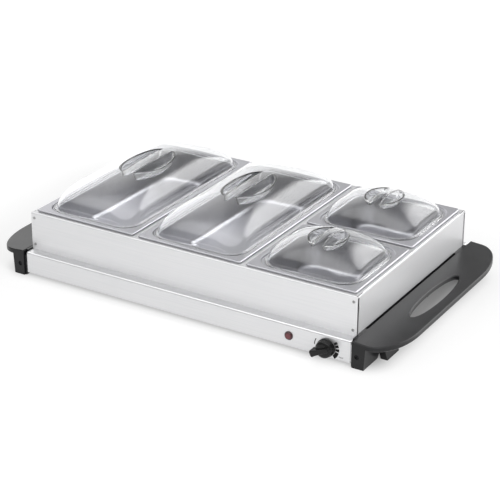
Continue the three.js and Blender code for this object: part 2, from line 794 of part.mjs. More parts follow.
// Handle: a rimmed and ribbed plate with a finger slot, a hollow post at each end and a splayed foot
// beside each post. It is formed level, sloped down towards its outer edge, and trimmed at the table.
// Each post narrows downwards, and stands clear of the base's end except behind its front face
function handle() {
  const deep = -handleFall;
  const plate = handleOutline(0);
  plate.holes.push(slotOutline(0, THREE.Path));
  const hollow = handleOutline(handleWall);
  hollow.holes.push(slotOutline(slotRingWall, THREE.Path));
  const inside = raised(hollow, rimUnder - overrun, plateUnder);
  const shell = raised(plate, rimUnder, plateTop, handleEdge).subtract(inside);

  const postFront = polygon([
    [seatGap, deep],
    [postWidth - postNarrowing, deep],
    [postWidth, rimUnder],
    [postWidth, plateTop],
    [seatGap, plateTop],
  ]);
  const posts = [-1, 1].map((end) => {
    const profile = polygon([
      [end * handleHalf, deep],
      [end * handleHalf, plateMiddle],
      [end * (handleHalf - postShoulder), plateMiddle],
      [end * (handleHalf - postShoulder), rimUnder],
      [end * (handleHalf - postFoot), 0],
      [end * (handleHalf - postFoot), deep],
    ]);
    const [y0, y1] = stretch(end * (handleHalf - postWall), -end, postFoot - 2 * postWall);
    const pocket = block(seatGap - overrun, postWidth - postWall, y0, y1, postWall, rimUnder);
    const tapered = alongY(postFront, ...stretch(end * handleHalf, -end, postShoulder));
    return alongX(profile, seatGap, postWidth).intersect(tapered).subtract(pocket);
  });

  const splayProfile = polygon([
    [splayFootInner, deep],
    [splayFootOuter, deep],
    [splayFootOuter, 0],
    [splayTopOuter, plateMiddle],
    [splayTopInner, plateMiddle],
    [splayFootInner, 0],
  ]);
  const splays = [-1, 1].map((end) => {
    const [y0, y1] = stretch(end * (handleHalf - postFoot - splayFromPost), -end, splayLength);
    return alongY(splayProfile, y0, y1);
  });
  const ribs = Array.from({ length: ribCount }, (_, i) => {
    const y = (i - (ribCount - 1) / 2) * ribPitch;
    const [y0, y1] = [y - ribThickness / 2, y + ribThickness / 2];
    return block(handleWall, handleReach - handleWall / 2, y0, y1, rimUnder, plateMiddle);
  });
  const slot = raised(slotOutline(0, THREE.Shape), rimUnder - overrun, plateTop + overrun);
  const level = joined(shell, ...posts, ...splays, joined(...ribs).subtract(slot));

  const slope = new THREE.Matrix4().makeShear(0, -handleFall / handleReach, 0, 0, 0, 0);
  const beyond = handleHalf + overrun;
  const lowest = 2 * deep - overrun;
  const table = block(-overrun, handleReach, -beyond, beyond, lowest, 0);
  const sideGap = block(-overrun, handleSideGap, -beyond, beyond, rimUnder, plateTop + overrun);
  const frontGaps = [-1, 1].map((end) => {
    const [y0, y1] = stretch(end * beyond, -end, overrun + handleFrontGap);
    return block(-overrun, handleSideGap, y0, y1, lowest, plateTop);
  });
  const screwHoles = [-1, 1].flatMap((end) => {
    const steps = [
      [handleScrewRadius, postWall + overrun],
      [handleScrewHeadRadius, handleScrewRecess],
    ];
    return steps.map(([radius, depth]) => {
      const [y0, y1] = stretch(end * beyond, -end, depth + overrun);
      return roundAlongY(radius + seatGap, handleScrewFromEnd, handleScrewZ, y0, y1, boreSides);
    });
  });
  return cutBy(moved(level, slope), table, sideGap, ...frontGaps, ...screwHoles);
}

// A screw along Y: its head stands on the seat, on the side that end points to
function screwAlongY(seat, end, headRadius, headHeight, radius, length) {
  const head = stretch(seat, end, headHeight);
  const shank = stretch(seat + (end * headHeight) / 2, -end, length + headHeight / 2);
  return joined(
    roundAlongY(headRadius, 0, 0, ...head, headSides),
    roundAlongY(radius, 0, 0, ...shank, shankSides),
  );
}

function handleScrew(end) {
  const seat = end * (handleHalf - handleScrewRecess);
  return screwAlongY(
    seat, end, handleScrewHeadRadius, handleScrewHeadHeight, handleScrewRadius, handleScrewLength,
  );
}

// Rack panel section: a wall with its outer face at 0, turned over at the top into a flange
function panelSection() {
  const centre = rackTop - rackBend;
  const outer = new THREE.Shape();
  outer.moveTo(0, baseTop);
  outer.lineTo(0, centre);
  outer.absarc(rackBend, centre, rackBend, Math.PI, Math.PI / 2, true);
  outer.lineTo(rackFlange, rackTop);
  outer.lineTo(rackFlange, rackTop - rackSheet);
  outer.lineTo(rackBend, rackTop - rackSheet);
  outer.absarc(rackBend, centre, rackBend - rackSheet, Math.PI / 2, Math.PI, false);
  outer.lineTo(rackSheet, baseTop);
  outer.closePath();
  return outer;
}

// Front panel: it spans the whole length, and its flange stops short of the end panels
function rackFrontPanel() {
  const face = -rackDepth / 2;
  const panel = shifted(alongX(panelSection(), -rackEnd, rackEnd), 0, face, 0);
  const notches = [-1, 1].map((side) => {
    const [x0, x1] = stretch(side * (rackEnd - rackSheet - rackCornerGap), side, rackFlange);
    const [y0, y1] = [face + rackSheet, face + rackFlange + overrun];
    return block(x0, x1, y0, y1, rackTop - rackBend, rackTop + overrun);
  });
  const holes = rackScrewPlaces().map(([x, z]) => rackScrewHole(x, z, face));
  return cutBy(panel, ...notches, ...holes);
}

function rackScrewPlaces() {
  const x = rackEnd - rackScrewFromEnd;
  return [-x, x].flatMap((along) => rackScrewLevels().map((level) => [along, level]));
}

function rackScrewLevels() {
  return [baseTop + rackScrewFromEdge, rackTop - rackScrewFromEdge];
}

function rackScrewHole(x, z, face) {
  return roundAlongY(rackScrewRadius + seatGap, x, z, face - overrun, face + overrun, shankSides);
}

// Left panel: wall and top flange, and at each end a corner flange that lies behind the long panel
function rackLeftPanel() {
  const face = rackDepth / 2 - rackSheet;
  const wallEnd = face - rackCornerGap;
  const flangeEnd = rackDepth / 2 - rackFlange - seatGap;
  const wall = shifted(alongY(panelSection(), -wallEnd, wallEnd), -rackEnd, 0, 0);
  const inner = -rackEnd + rackSheet;
  const corners = [-1, 1].map((end) => {
    const [y0, y1] = stretch(end * flangeEnd, end, rackFlange);
    const notch = block(inner, inner + rackFlange, y0, y1, rackTop - rackBend, rackTop + overrun);
    const flange = polygon([
      [-rackEnd, end * wallEnd],
      [-rackEnd + rackCornerGap, end * face],
      [-rackEnd + rackEndFlange, end * face],
      [-rackEnd + rackEndFlange, end * (face - rackSheet)],
      [inner + rackCornerGap, end * (face - rackSheet)],
      [inner, end * (wallEnd - rackSheet)],
      [-rackEnd, end * (wallEnd - rackSheet)],
    ]);
    return { notch, flange: raised(flange, baseTop, rackTop - rackBend) };
  });
  const holes = [-1, 1].flatMap((end) =>
    rackScrewLevels().map((z) => rackScrewHole(rackScrewFromEnd - rackEnd, z, end * face)),
  );
  const notched = cutBy(wall, ...corners.map(({ notch }) => notch));
  return cutBy(joined(notched, ...corners.map(({ flange }) => flange)), ...holes);
}

// Dividers: a flat top between the flanges, over a web that runs on under them to the walls
function longDivider() {
  const topEnd = rackDepth / 2 - rackFlange - seatGap;
  const webEnd = rackDepth / 2 - rackSheet;
  const under = rackTop - rackSheet;
  const [x0, x1] = [-dividerWeb / 2, dividerWeb / 2];
  return joined(
    block(-dividerTopWidth / 2, dividerTopWidth / 2, -topEnd, topEnd, under, rackTop),
    block(x0, x1, -topEnd, topEnd, under - dividerDrop, under),
    block(x0, x1, -webEnd, webEnd, under - dividerDrop, rackTop - rackBend),
  );
}

function shortDivider() {
  const under = rackTop - rackSheet;
  const [x0, x1] = [panPitch / 2 + dividerTopWidth / 2 + seatGap, rackEnd - rackFlange - seatGap];
  const [y0, y1] = [-dividerWeb / 2, dividerWeb / 2];
  const webStart = panPitch / 2 + dividerWeb / 2;
  return joined(
    block(x0, x1, -dividerTopWidth / 2, dividerTopWidth / 2, under, rackTop),
    block(x0, x1, y0, y1, under - dividerDrop, under),
    block(webStart, rackEnd - rackSheet, y0, y1, under - dividerDrop, rackTop - rackBend),
  );
}

function rackScrew(end) {
  const seat = (end * rackDepth) / 2;
  return screwAlongY(seat, end, rackScrewHeadRadius, rackScrewHeadHeight, rackScrewRadius, rackScrewLength);
}

// Pan: a rolled edge, a flat rim, a step with a ledge for the lid, tapered walls and a rounded floor
function pan(length) {
  const top = panRimTop;
  const sheet = panSheet;
  const ledge = top - panStep;
  const stepFoot = panRim + panStepSlope;
  const floorFoot = panMouth + panTaper;
  const floor = top - panDepth;
  const arc = panFloorRound * (1 - Math.SQRT1_2);
  const flatRadius = panFloorRadius - panFloorRound / 2;
  const rows = [
    [floorFoot + panFloorRound, floor, flatRadius],
    [floorFoot + arc - sheet / 2, floor + arc - sheet / 2, panFloorRadius - arc],
    [floorFoot - sheet, floor + panFloorRound, panFloorRadius],
    [panMouth - sheet, ledge - sheet - panMouthRound, panMouthRadius],
    [panMouth - sheet - panMouthRound / 2, ledge - sheet, panMouthRadius],
    [stepFoot - sheet, ledge - sheet, panMouthRadius],
    [panRim - sheet, top - sheet, panMouthRadius],
    [sheet, top - sheet, panOuterRadius - sheet],
    [sheet, top - panLip, panOuterRadius - sheet],
    [0, top - panLip, panOuterRadius],
    [0, top - sheet, panOuterRadius],
    [sheet, top, panOuterRadius - sheet / 2],
    [panRim, top, panMouthRadius],
    [stepFoot, ledge, panMouthRadius],
    [panMouth - panMouthRound / 2, ledge, panMouthRadius],
    [panMouth, ledge - panMouthRound, panMouthRadius],
    [floorFoot, floor + sheet + panFloorRound, panFloorRadius],
    [floorFoot + arc, floor + sheet + arc, panFloorRadius - arc],
    [floorFoot + panFloorRound, floor + sheet, flatRadius],
  ];
  return skinned(ringsFrom(panWidth / 2, length / 2, rows));
}

// Lid dome: level curves that shrink and round out towards the crown
function domeRings(halfX, halfY, corner, foot, rise, shares) {
  return domeLevelShares.map((level) => {
    const x = halfX * Math.pow(1 - Math.pow(level, shares.widthFall), 1 / shares.widthRoot);
    const y = halfY * Math.pow(1 - Math.pow(level, shares.lengthFall), 1 / shares.lengthRoot);
    const radius = corner + (Math.min(x, y) - corner) * Math.pow(level, shares.corner);
    return roundedRing(x, y, radius, foot + rise * level);
  });
}

// One half of the oval grip: the part of an ellipse beyond the central rib
function gripRing(side, semiX, semiY, rib, z) {
  const start = Math.acos(Math.min(rib / semiX, 1));
  return Array.from({ length: gripArcSteps + 1 }, (_, i) => {
    const angle = -start + (2 * start * i) / gripArcSteps;
    return [side * semiX * Math.cos(angle), semiY * Math.sin(angle), z];
  });
}

function gripPocket(side, grip, crown, grow) {
  const rib = grip.rib / 2 - grow;
  const semiX = grip.halfWidth + grow;
  const semiY = grip.halfLength + grow;
  return skinned([
    gripRing(side, semiX - gripDraft, semiY - gripDraft, rib, crown - grip.depth - grow),
    gripRing(side, semiX, semiY, rib, crown + overrun),
  ]);
}

// Lid: a flange on the pan's ledge, a thin dome, and two half-oval pockets with a rib to pinch between them
function lid(length, { rise, corner, shares, grip }) {
  const ledge = panRimTop - panStep;
  const flangeTop = ledge + lidSheet;
  const edge = panRim + panStepSlope + lidEdgeGap;
  const halfX = panWidth / 2 - panMouth + lidSheet / 2;
  const halfY = length / 2 - panMouth + lidSheet / 2;
  const crown = panRimTop + rise;
  const innerX = halfX - lidSheet;
  const innerY = halfY - lidSheet;
  const innerCorner = corner - lidSheet;
  const outer = domeRings(halfX, halfY, corner, flangeTop, crown - flangeTop, shares);
  const inner = domeRings(innerX, innerY, innerCorner, ledge, crown - lidSheet - ledge, shares);
  const centreOf = (z) => roundedRing(halfX * crownRingShare, halfY * crownRingShare, halfX, z);
  const rimOf = (z) => roundedRing(panWidth / 2 - edge, length / 2 - edge, panMouthRadius - lidEdgeGap, z);
  const footOuter = roundedRing(halfX + lidFoot, halfY + lidFoot, corner + lidFoot, flangeTop);
  const footInner = roundedRing(innerX, innerY, innerCorner, ledge);
  const shell = skinned([
    centreOf(crown - lidSheet),
    ...inner.slice().reverse(),
    footInner,
    rimOf(ledge),
    rimOf(flangeTop),
    footOuter,
    ...outer,
    centreOf(crown),
  ]);
  const filled = skinned([footOuter, ...outer, centreOf(crown)]);
  const skins = [-1, 1].map((side) => gripPocket(side, grip, crown, lidSheet).intersect(filled));
  const pockets = [-1, 1].map((side) => gripPocket(side, grip, crown, 0));
  return cutBy(joined(shell, ...skins), ...pockets);
}

// Base group: everything that stays on the table
const base = new THREE.Group();
server.add(base);
place(base, "base_shell", baseShell(), steel);
place(base, "bottom_cover", bottomCover(), darkSteel);
coverScrewPlaces().forEach(([x, y], i) => {
  place(base, `cover_screw_${i + 1}`, coverScrew(), darkSteel, [x, y, 0]);
});
place(base, "heat_spreader", heatSpreader(), aluminium);
place(base, "heating_element", rodThrough(elementRoute(), elementRadius, elementSides), darkSteel);
[-1, 0, 1].forEach((step, i) => {
  place(base, `element_clamp_${i + 1}`, elementClamp(), darkSteel, [step * clampPitch, 0, 0]);
});
place(base, "heat_shield", heatShield(), aluminium);
place(base, "thermostat_bracket", thermostatBracket(), darkSteel);
place(base, "thermostat_body", thermostatBody(), palePlastic);
place(base, "indicator_lens", indicatorLens(), redPlastic);
place(base, "indicator_body", indicatorBody(), palePlastic);
place(base, "indicator_nut", indicatorNut(), palePlastic);
place(base, "cord_gland", cordGland(), dialPlastic);
place(base, "terminal_block", terminalBlock(), palePlastic);

const rightHandle = shifted(handle(), rightEnd, 0, 0);
place(base, "handle_right", rightHandle, blackPlastic);
place(base, "handle_left", mirroredX(rightHandle), blackPlastic);
handleTabPlaces().forEach(([side, end]) => {
  const name = `handle_screw_${end < 0 ? "front" : "back"}_${side < 0 ? "left" : "right"}`;
  const x = side * (rightEnd + handleScrewFromEnd);
  place(base, name, handleScrew(end), blackenedSteel, [x, 0, handleScrewZ]);
});

// Dial group: turns about the shaft
const dial = new THREE.Group();
server.add(dial);
place(dial, "thermostat_shaft", thermostatShaft(), darkSteel);
place(dial, "control_knob", controlKnob(), dialPlastic);

// Rack group: lifts off the base
const rack = new THREE.Group();
server.add(rack);
place(rack, "rack_front_panel", rackFrontPanel(), steel);
place(rack, "rack_back_panel", mirroredY(rackFrontPanel()), steel);
place(rack, "rack_left_panel", rackLeftPanel(), steel);
place(rack, "rack_right_panel", mirroredX(rackLeftPanel()), steel);
place(rack, "rack_divider_left", longDivider(), steel, [-panPitch / 2, 0, 0]);
place(rack, "rack_divider_right", longDivider(), steel, [panPitch / 2, 0, 0]);
place(rack, "rack_divider_short", shortDivider(), steel);
[-1, 1].forEach((end) => {
  rackScrewPlaces().forEach(([x, z], i) => {
    place(rack, `rack_screw_${end < 0 ? "front" : "back"}_${i + 1}`, rackScrew(end), darkSteel, [x, 0, z]);
  });
});

// Pan and lid groups: each pan lifts out of the rack, and each lid off its pan
const longLid = {
  rise: longLidRise,
  corner: longLidCorner,
  shares: longDomeShares,
  grip: {
    halfLength: longGripHalfLength,
    halfWidth: longGripHalfWidth,
    depth: longGripDepth,
    rib: longGripRib,
  },
};
const smallLid = {
  rise: smallLidRise,
  corner: smallLidCorner,
  shares: smallDomeShares,
  grip: {
    halfLength: smallGripHalfLength,
    halfWidth: smallGripHalfWidth,
    depth: smallGripDepth,
    rib: smallGripRib,
  },
};
const smallPlace = (smallPanLength + panGap) / 2;
const dishes = [
  { name: "left", x: -panPitch, y: 0, length: longPanLength, form: longLid },
  { name: "middle", x: 0, y: 0, length: longPanLength, form: longLid },
  { name: "front", x: panPitch, y: -smallPlace, length: smallPanLength, form: smallLid },
  { name: "rear", x: panPitch, y: smallPlace, length: smallPanLength, form: smallLid },
];
dishes.forEach(({ name, x, y, length, form }) => {
  const dish = new THREE.Group();
  dish.position.set(x, y, 0);
  rack.add(dish);
  place(dish, `pan_${name}`, pan(length), panSteel);
  place(dish, `lid_${name}`, lid(length, form), clearPlastic);
});

// The origin lies under the middle of the whole object, which the knob and the mains entry make uneven
server.position.y = (knobReach - glandReach) / 2;

export default server;
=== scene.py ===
# Buffet server: the finish of every piece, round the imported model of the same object.
import json
import math

import bmesh
import bpy
import numpy as np
from mathutils import Matrix, Vector


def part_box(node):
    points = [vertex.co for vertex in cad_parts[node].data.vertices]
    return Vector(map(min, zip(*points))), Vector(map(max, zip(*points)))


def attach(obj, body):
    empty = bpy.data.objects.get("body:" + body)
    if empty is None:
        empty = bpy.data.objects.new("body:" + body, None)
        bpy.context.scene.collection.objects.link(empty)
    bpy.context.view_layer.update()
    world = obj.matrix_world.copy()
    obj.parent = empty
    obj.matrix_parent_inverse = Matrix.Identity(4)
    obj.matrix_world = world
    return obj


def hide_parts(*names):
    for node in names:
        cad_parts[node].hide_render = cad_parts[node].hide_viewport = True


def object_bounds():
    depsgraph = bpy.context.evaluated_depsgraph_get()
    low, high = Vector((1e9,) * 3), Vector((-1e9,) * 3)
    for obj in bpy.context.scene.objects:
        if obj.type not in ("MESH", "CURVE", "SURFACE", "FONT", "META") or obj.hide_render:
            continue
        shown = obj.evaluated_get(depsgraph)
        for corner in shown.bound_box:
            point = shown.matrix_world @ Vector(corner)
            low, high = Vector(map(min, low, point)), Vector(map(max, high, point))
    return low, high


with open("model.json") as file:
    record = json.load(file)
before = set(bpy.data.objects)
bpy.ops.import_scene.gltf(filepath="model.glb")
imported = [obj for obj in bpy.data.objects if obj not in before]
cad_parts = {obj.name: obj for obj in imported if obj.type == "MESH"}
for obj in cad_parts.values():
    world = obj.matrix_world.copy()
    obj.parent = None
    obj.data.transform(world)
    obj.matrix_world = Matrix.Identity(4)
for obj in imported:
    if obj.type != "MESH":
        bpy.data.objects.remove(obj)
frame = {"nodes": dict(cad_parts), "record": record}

cad_low, cad_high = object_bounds()
MM = 0.001

# Camera: the photograph's own viewpoint, worked out from the server's straight edges
CAMERA_PLACE = (1121.36, -1856.10, 1027.41)
CAMERA_FORWARD = (-0.46844, 0.77914, -0.41654)
CAMERA_ROLL = math.radians(0.24)
CAMERA_LENS = 118.056
SENSOR_WIDTH = 36

# Floor: a grey sheet that glows white for the rays that show it; its glow is dimmed under and near the
# server, which paints the server's shade on it
FLOOR_REACH = 14
FLOOR_DROP = 0.1 * MM
FLOOR_LEVEL = 0.4
FLOOR_LIGHT_LEVEL = 0.6
# The glow under the server, where the painted shade is deepest; the glow added on the open floor; and the
# stretch far out where a wider painted shade fades
DEEP_SHADE_GLOW = 0.12
FLOOR_GLOW = 0.6
FAR_SHADE_FADE = (0.03, 0.42)
FAR_GLOW = 0.32
SHADE_ROUND = 60 * MM
SHADE_FROM = -56 * MM
SHADE_TO = -2 * MM
SHADE_FORWARD = 7 * MM

# Room: its even light, the walls that the steel mirrors, and two bright patches on them
WORLD_LEVEL = 0.34
BACK_WALL = {"heights": (0.12, 0.45), "levels": (1.0, 0.45)}
FRONT_WALL = {"heights": (0.6, 0.85), "levels": (0.4, 2.4)}
WALLS_MEET = (0.05, 0.6)
BRIGHT_PATCHES = (
    {"way": (0.334, 0.759, 0.557), "edge": (0.86, 0.95), "level": 3.8},
    {"way": (-0.83, 0.45, 0.33), "edge": (0.8, 0.98), "level": 1.8},
)

# Soft lamps: name, place, size and power
LAMPS = (
    ("overhead_softbox", (-0.1, 0.35, 2.1), (1.7, 1.1), 0.8),
    ("left_softbox", (-2.3, 1.0, 0.85), (1.6, 1.4), 9),
    ("right_softbox", (2.2, -0.9, 0.9), (1.4, 1.6), 36),
    ("front_softbox", (0.35, -2.4, 0.95), (2.2, 1.2), 24),
)
LAMP_AIM = (0, 0, 0.05)

# Angles past which an edge is shaded sharp
SHARP_FORMED = 60
SHARP_CAD = 50
SHARP_TURNED = 40
SHARP_LENS = 35

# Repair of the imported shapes
NEARLY_HALF = 0.49
WELD = 0.01 * MM
RING_WELD = 0.002 * MM
FLAT_ANGLE = math.radians(0.5)
HARD_ANGLE = math.radians(35)

# Clear lids: the powers shape each dome's level curves across, along and in their corners
LID_SHEET = 1.8 * MM
LID_WALL = 0.94 * LID_SHEET
LID_FLANGE = 4.3 * MM
# The flange's section: how far out of the dome's foot and above the flange, in millimetres
FLANGE_SECTION = (
    (4.3, -1.2), (4.3, -0.5), (4.15, -0.12), (3.8, 0), (2.6, 0),
    (1.6, 0.05), (0.9, 0.22), (0.4, 0.6), (0.1, 1.2),
)
SHOULDER_SHARES = np.linspace(0.05, 0.6, 16)
CROWN_RINGS = 21
HALVINGS = 34
NEARLY_CROWN = 1 - 1e-7
GRIP_EDGE = 1.9 * MM
GRIP_EDGE_LEAN = 0.62
GRIP_EDGE_TURN = math.radians(78.3)
GRIP_EDGE_STEPS = 5
GRIP_WALL_STEPS = 4
GRIP_FLOOR_STEPS = 5
GRIP_FLOOR_ROUND = 3 * MM
GRIP_DRAFT = 1.8 * MM
GRIP_LEVELLED = 0.4
LONG_GRIP = {"half_x": 30.5 * MM, "half_y": 54 * MM, "depth": 15 * MM, "rib": 15.5 * MM}
LONG_DOME = {"corner": 24 * MM, "powers": (3.3, 1.6, 2.6, 2.2, 1.45)}
SMALL_GRIP = {"half_x": 26 * MM, "half_y": 33 * MM, "depth": 13 * MM, "rib": 13 * MM}
SMALL_DOME = {"corner": 30 * MM, "powers": (2.9, 1.4, 2.0, 1.85, 1.55)}
ARC_STEPS = 72
RIB_STEPS = 18
RIB_ROWS = 26

# Steel pans
PAN_SHEET = 0.8 * MM
PAN_LIP = 3.2 * MM
PAN_CURL = 1.9 * MM
PAN_ROLL = 2.0 * MM
PAN_ROLL_STEPS = 9
PAN_OUTER_RADIUS = 4 * MM
PAN_RIM = 8 * MM
PAN_RIM_ROUND = 0.8 * MM
PAN_SLOPE = 1 * MM
PAN_STEP = 2.4 * MM
PAN_LEDGE = 6 * MM
PAN_LEDGE_ROUND = 1.8 * MM
PAN_MOUTH_RADIUS = 27 * MM
PAN_TAPER = 6 * MM
PAN_FLOOR_ROUND = 10 * MM
PAN_FLOOR_RADIUS = 24 * MM
PAN_CORNER_STEPS = 14
PAN_ROUND_STEPS = 6

# Rack corners
SEAM_DEPTH = 3.4 * MM
SEAM_WIDTH = 4.0 * MM
SEAM_TOP = 2.6 * MM
CUT_PAST = 1 * MM

# Dial knob and the marks printed round it, as angles and distances from its axis
TURNED_SIDES = 64
KNOB_STANDOFF = 1.2 * MM
KNOB_SKIRT = 13 * MM
KNOB_SKIRT_DEPTH = 2.6 * MM
KNOB_BODY = 12.2 * MM
KNOB_BODY_DEPTH = 11 * MM
KNOB_GRIP_DEPTH = 15.5 * MM
KNOB_GRIP_HALF = 3.5 * MM
KNOB_TIP_HALF = 4.9 * MM
KNOB_TIP_REACH = 18.7 * MM
KNOB_TAIL_REACH = 11 * MM
KNOB_TIP_ANGLE = math.radians(205)
KNOB_GRIP_EDGE = 1.1 * MM
KNOB_EDGE_STEPS = 4
KNOB_FINE_EDGE = 0.3 * MM
KNOB_SKIRT_EDGE = 0.6 * MM
KNOB_SKIRT_RISE = 0.1 * MM
KNOB_BODY_ROUND = 2.4 * MM
KNOB_TAIL_SHARE = 0.8
KNOB_SHOULDER_SHARE = 0.86
KNOB_BEND_SHARES = (0.99, 0.72)
KNOB_POINT_SHARE = 0.955
SCALE_INNER = 13.4 * MM
SCALE_OUTER = 18.7 * MM
SCALE_BLOCKS = ((28, 39), (11, 24), (-9, 5), (-48, -14))
TICK_ANGLES = (151, 181)
TICK_WIDTH = 1.3 * MM
WORD_PLACE = (18.4 * MM, -10.6 * MM)
WORD_HEIGHT = 3.1 * MM
INK_DEPTH = 0.04 * MM
INK_SUNK = 0.2 * INK_DEPTH

# Indicator lens: the roundings of its collar, its shoulder and its crown
LENS_EDGE = 0.3 * MM
LENS_SHOULDER = 1.2 * MM
LENS_CROWN = 2.0 * MM

# Lip of each handle, over the end of the base: solid near its ends, with a thin upright between them. It is
# partly the handle's moulding and partly painted shade: its black plastic covers the base's bright edge in
# the gap beside the rack, so that the gap shows dark
LIP_CLEARANCE = 0.12 * MM
LIP_SHEET = 0.4 * MM
LIP_INTO_PLATE = 0.4 * MM
LIP_SOLID_END = 34 * MM
LIP_BELOW_PLATE = 0.2 * MM
LIP_BEND_STEPS = 7
BASE_PROUD = 1 * MM
BASE_BEND = 2.5 * MM
HANDLE_GAP = 2.4 * MM
HANDLE_EDGE = 1.1 * MM
HANDLE_EDGE_STEPS = 3

# Screws: the rise of the head's dome and the shank are shares of the head's radius, the tip of the shank's
SCREW_SIDES = 32
SCREW_RISE = 0.36
SCREW_SHANK = 0.5
SCREW_TIP = 0.3
THREAD_PITCH = 0.7 * MM
THREAD_ROOT = 0.8
# The head's edge from below: shares of its radius, and drops below its top in shares of its rise
SCREW_HEAD = ((0.92, 1.6), (1, 1.3), (1, 1))
SCREW_DOME_ANGLES = np.linspace(0.25, 1.0, 4)
# The cross recess: the reach and waist of each ring in shares of the head's radius, and its drop
SCREW_CROSS = ((0.5, 0.17, 0.03), (0.44, 0.13, 1.1), (0.1, 0.06, 1.3))


# Shader maths

class Value:
    """One output of a material's nodes; sums and products of values add their Math nodes."""

    def __init__(self, paint, socket):
        self.paint = paint
        self.socket = socket

    def maths(self, operation, *terms):
        return self.paint.node("ShaderNodeMath", {"operation": operation}, terms)

    def __add__(self, other):
        return self.maths("ADD", self, other)

    __radd__ = __add__

    def __sub__(self, other):
        return self.maths("SUBTRACT", self, other)

    def __rsub__(self, other):
        return self.maths("SUBTRACT", other, self)

    def __mul__(self, other):
        return self.maths("MULTIPLY", self, other)

    __rmul__ = __mul__

    def between(self, low, high):
        """0 below low, 1 above high, and a soft step between them."""
        settings = {"interpolation_type": "SMOOTHSTEP"}
        values = {"Value": self, "From Min": low, "From Max": high}
        return self.paint.node("ShaderNodeMapRange", settings, values)


class Paint:
    """A material, or the world, made of nodes."""

    def __init__(self, name, owner=None):
        self.owner = owner or bpy.data.materials.new(name)
        self.owner.use_nodes = True
        self.tree = self.owner.node_tree
        self.tree.nodes.clear()

    def feed(self, socket, value):
        if isinstance(value, Value):
            self.tree.links.new(value.socket, socket)
        elif value is not None:
            socket.default_value = value

    def node(self, kind, settings=None, values=(), out=0):
        """Adds a node: first its settings, then the values or links of its sockets."""
        made = self.tree.nodes.new(kind)
        for key, setting in (settings or {}).items():
            setattr(made, key, setting)
        pairs = values.items() if isinstance(values, dict) else enumerate(values)
        for key, value in pairs:
            self.feed(made.inputs[key], value)
        return Value(self, made.outputs[out]) if made.outputs else None

    def place(self, stretch=(1, 1, 1)):
        """The point on the piece, in its own frame, stretched along each axis."""
        return self.vectors("MULTIPLY", self.node("ShaderNodeTexCoord", out="Object"), stretch)

    def vectors(self, operation, *terms, out="Vector"):
        return self.node("ShaderNodeVectorMath", {"operation": operation}, terms, out=out)

    def noise(self, scale, stretch=(1, 1, 1), detail=2.0):
        values = {"Vector": self.place(stretch), "Scale": scale, "Detail": detail}
        return self.node("ShaderNodeTexNoise", values=values)

    def ray(self, kind):
        """1 for the rays of one kind, such as Camera or Shadow."""
        return self.node("ShaderNodeLightPath", out=f"Is {kind} Ray")

    def larger(self, first, second):
        return self.node("ShaderNodeMath", {"operation": "MAXIMUM"}, [first, second])

    def blend(self, share, first, second):
        """A colour that goes from the first to the second as the share rises."""
        return self.node("ShaderNodeMix", {"data_type": "RGBA"}, {0: share, 6: first, 7: second}, out=2)

    def bump(self, height, depth, glow_after_painted_shade):
        values = {"Strength": glow_after_painted_shade, "Distance": depth, "Height": height}
        return self.node("ShaderNodeBump", values=values)

    def surface(self, **sockets):
        values = {name.replace("_", " "): value for name, value in sockets.items()}
        return self.node("ShaderNodeBsdfPrincipled", values=values)

    def finish(self, shader):
        kind = "Material" if isinstance(self.owner, bpy.types.Material) else "World"
        self.node("ShaderNodeOutput" + kind, values=[shader])
        return self.owner


def tinted(level, tint):
    return tuple(level * share for share in tint) + (1,)


def grey(level):
    return tinted(level, (1, 1, 1))


# Finishes

def satin_steel(name, level, metallic, roughness):
    """Bright stainless sheet: faint brushing along X, slow unevenness, and a few finger-soft patches."""
    paint = Paint(name)
    brush = paint.noise(1.0, (12.0, 900.0, 900.0), detail=3.0)
    slow = paint.noise(9.0, detail=1.0)
    patches = paint.noise(28.0)
    light = tinted(level, (1.0, 1.0, 1.01))
    dull = tinted(level, (0.93, 0.935, 0.95))
    colour = paint.blend(brush.between(0.3, 0.75) * 0.6 + slow * 0.4, light, dull)
    rough = roughness + (brush - 0.5) * 0.08 + (patches - 0.5) * 0.06
    normal = paint.bump(brush, 0.02 * MM, 0.35)
    return paint.finish(paint.surface(Base_Color=colour, Metallic=metallic, Roughness=rough, Normal=normal))


def drawn_steel(name):
    """Pan steel: smoother and darker, with faint drawing marks down the walls."""
    paint = Paint(name)
    marks = paint.noise(1.0, (420.0, 420.0, 40.0), detail=3.0)
    slow = paint.noise(14.0)
    light, dull = (0.47, 0.47, 0.49, 1), (0.37, 0.37, 0.40, 1)
    colour = paint.blend(marks.between(0.3, 0.8) * 0.5 + slow * 0.4, light, dull)
    rough = 0.4 + (marks - 0.5) * 0.1 + (slow - 0.5) * 0.08
    normal = paint.bump(slow, 0.3 * MM, 0.15)
    return paint.finish(paint.surface(Base_Color=colour, Metallic=1.0, Roughness=rough, Normal=normal))


def plated_steel(name, colour):
    """Plated, blackened or rolled metal that is dull in fine speckles and broad clouds."""
    paint = Paint(name)
    speckle = paint.noise(600.0)
    slow = paint.noise(60.0)
    shader = paint.surface(
        Base_Color=paint.blend(speckle * 0.5 + slow * 0.5, tinted(1, colour), tinted(0.7, colour)),
        Metallic=1.0,
        Roughness=0.34 + speckle * 0.14,
    )
    return paint.finish(shader)


def moulded_plastic(name, colour, roughness, grain_depth, shine=0.5):
    """Moulded plastic with a fine spark-eroded grain and slightly polished patches."""
    paint = Paint(name)
    grain = paint.noise(1500.0, detail=1.0)
    slow = paint.noise(35.0)
    lighter = tuple(channel * 1.35 + 0.002 for channel in colour) + (1,)
    shader = paint.surface(
        Base_Color=paint.blend(slow.between(0.35, 0.7), tinted(1, colour), lighter),
        Roughness=roughness + (grain - 0.5) * 0.12 + (slow - 0.5) * 0.1,
        Specular_IOR_Level=shine,
        Normal=paint.bump(grain, grain_depth, 0.5),
    )
    return paint.finish(shader)


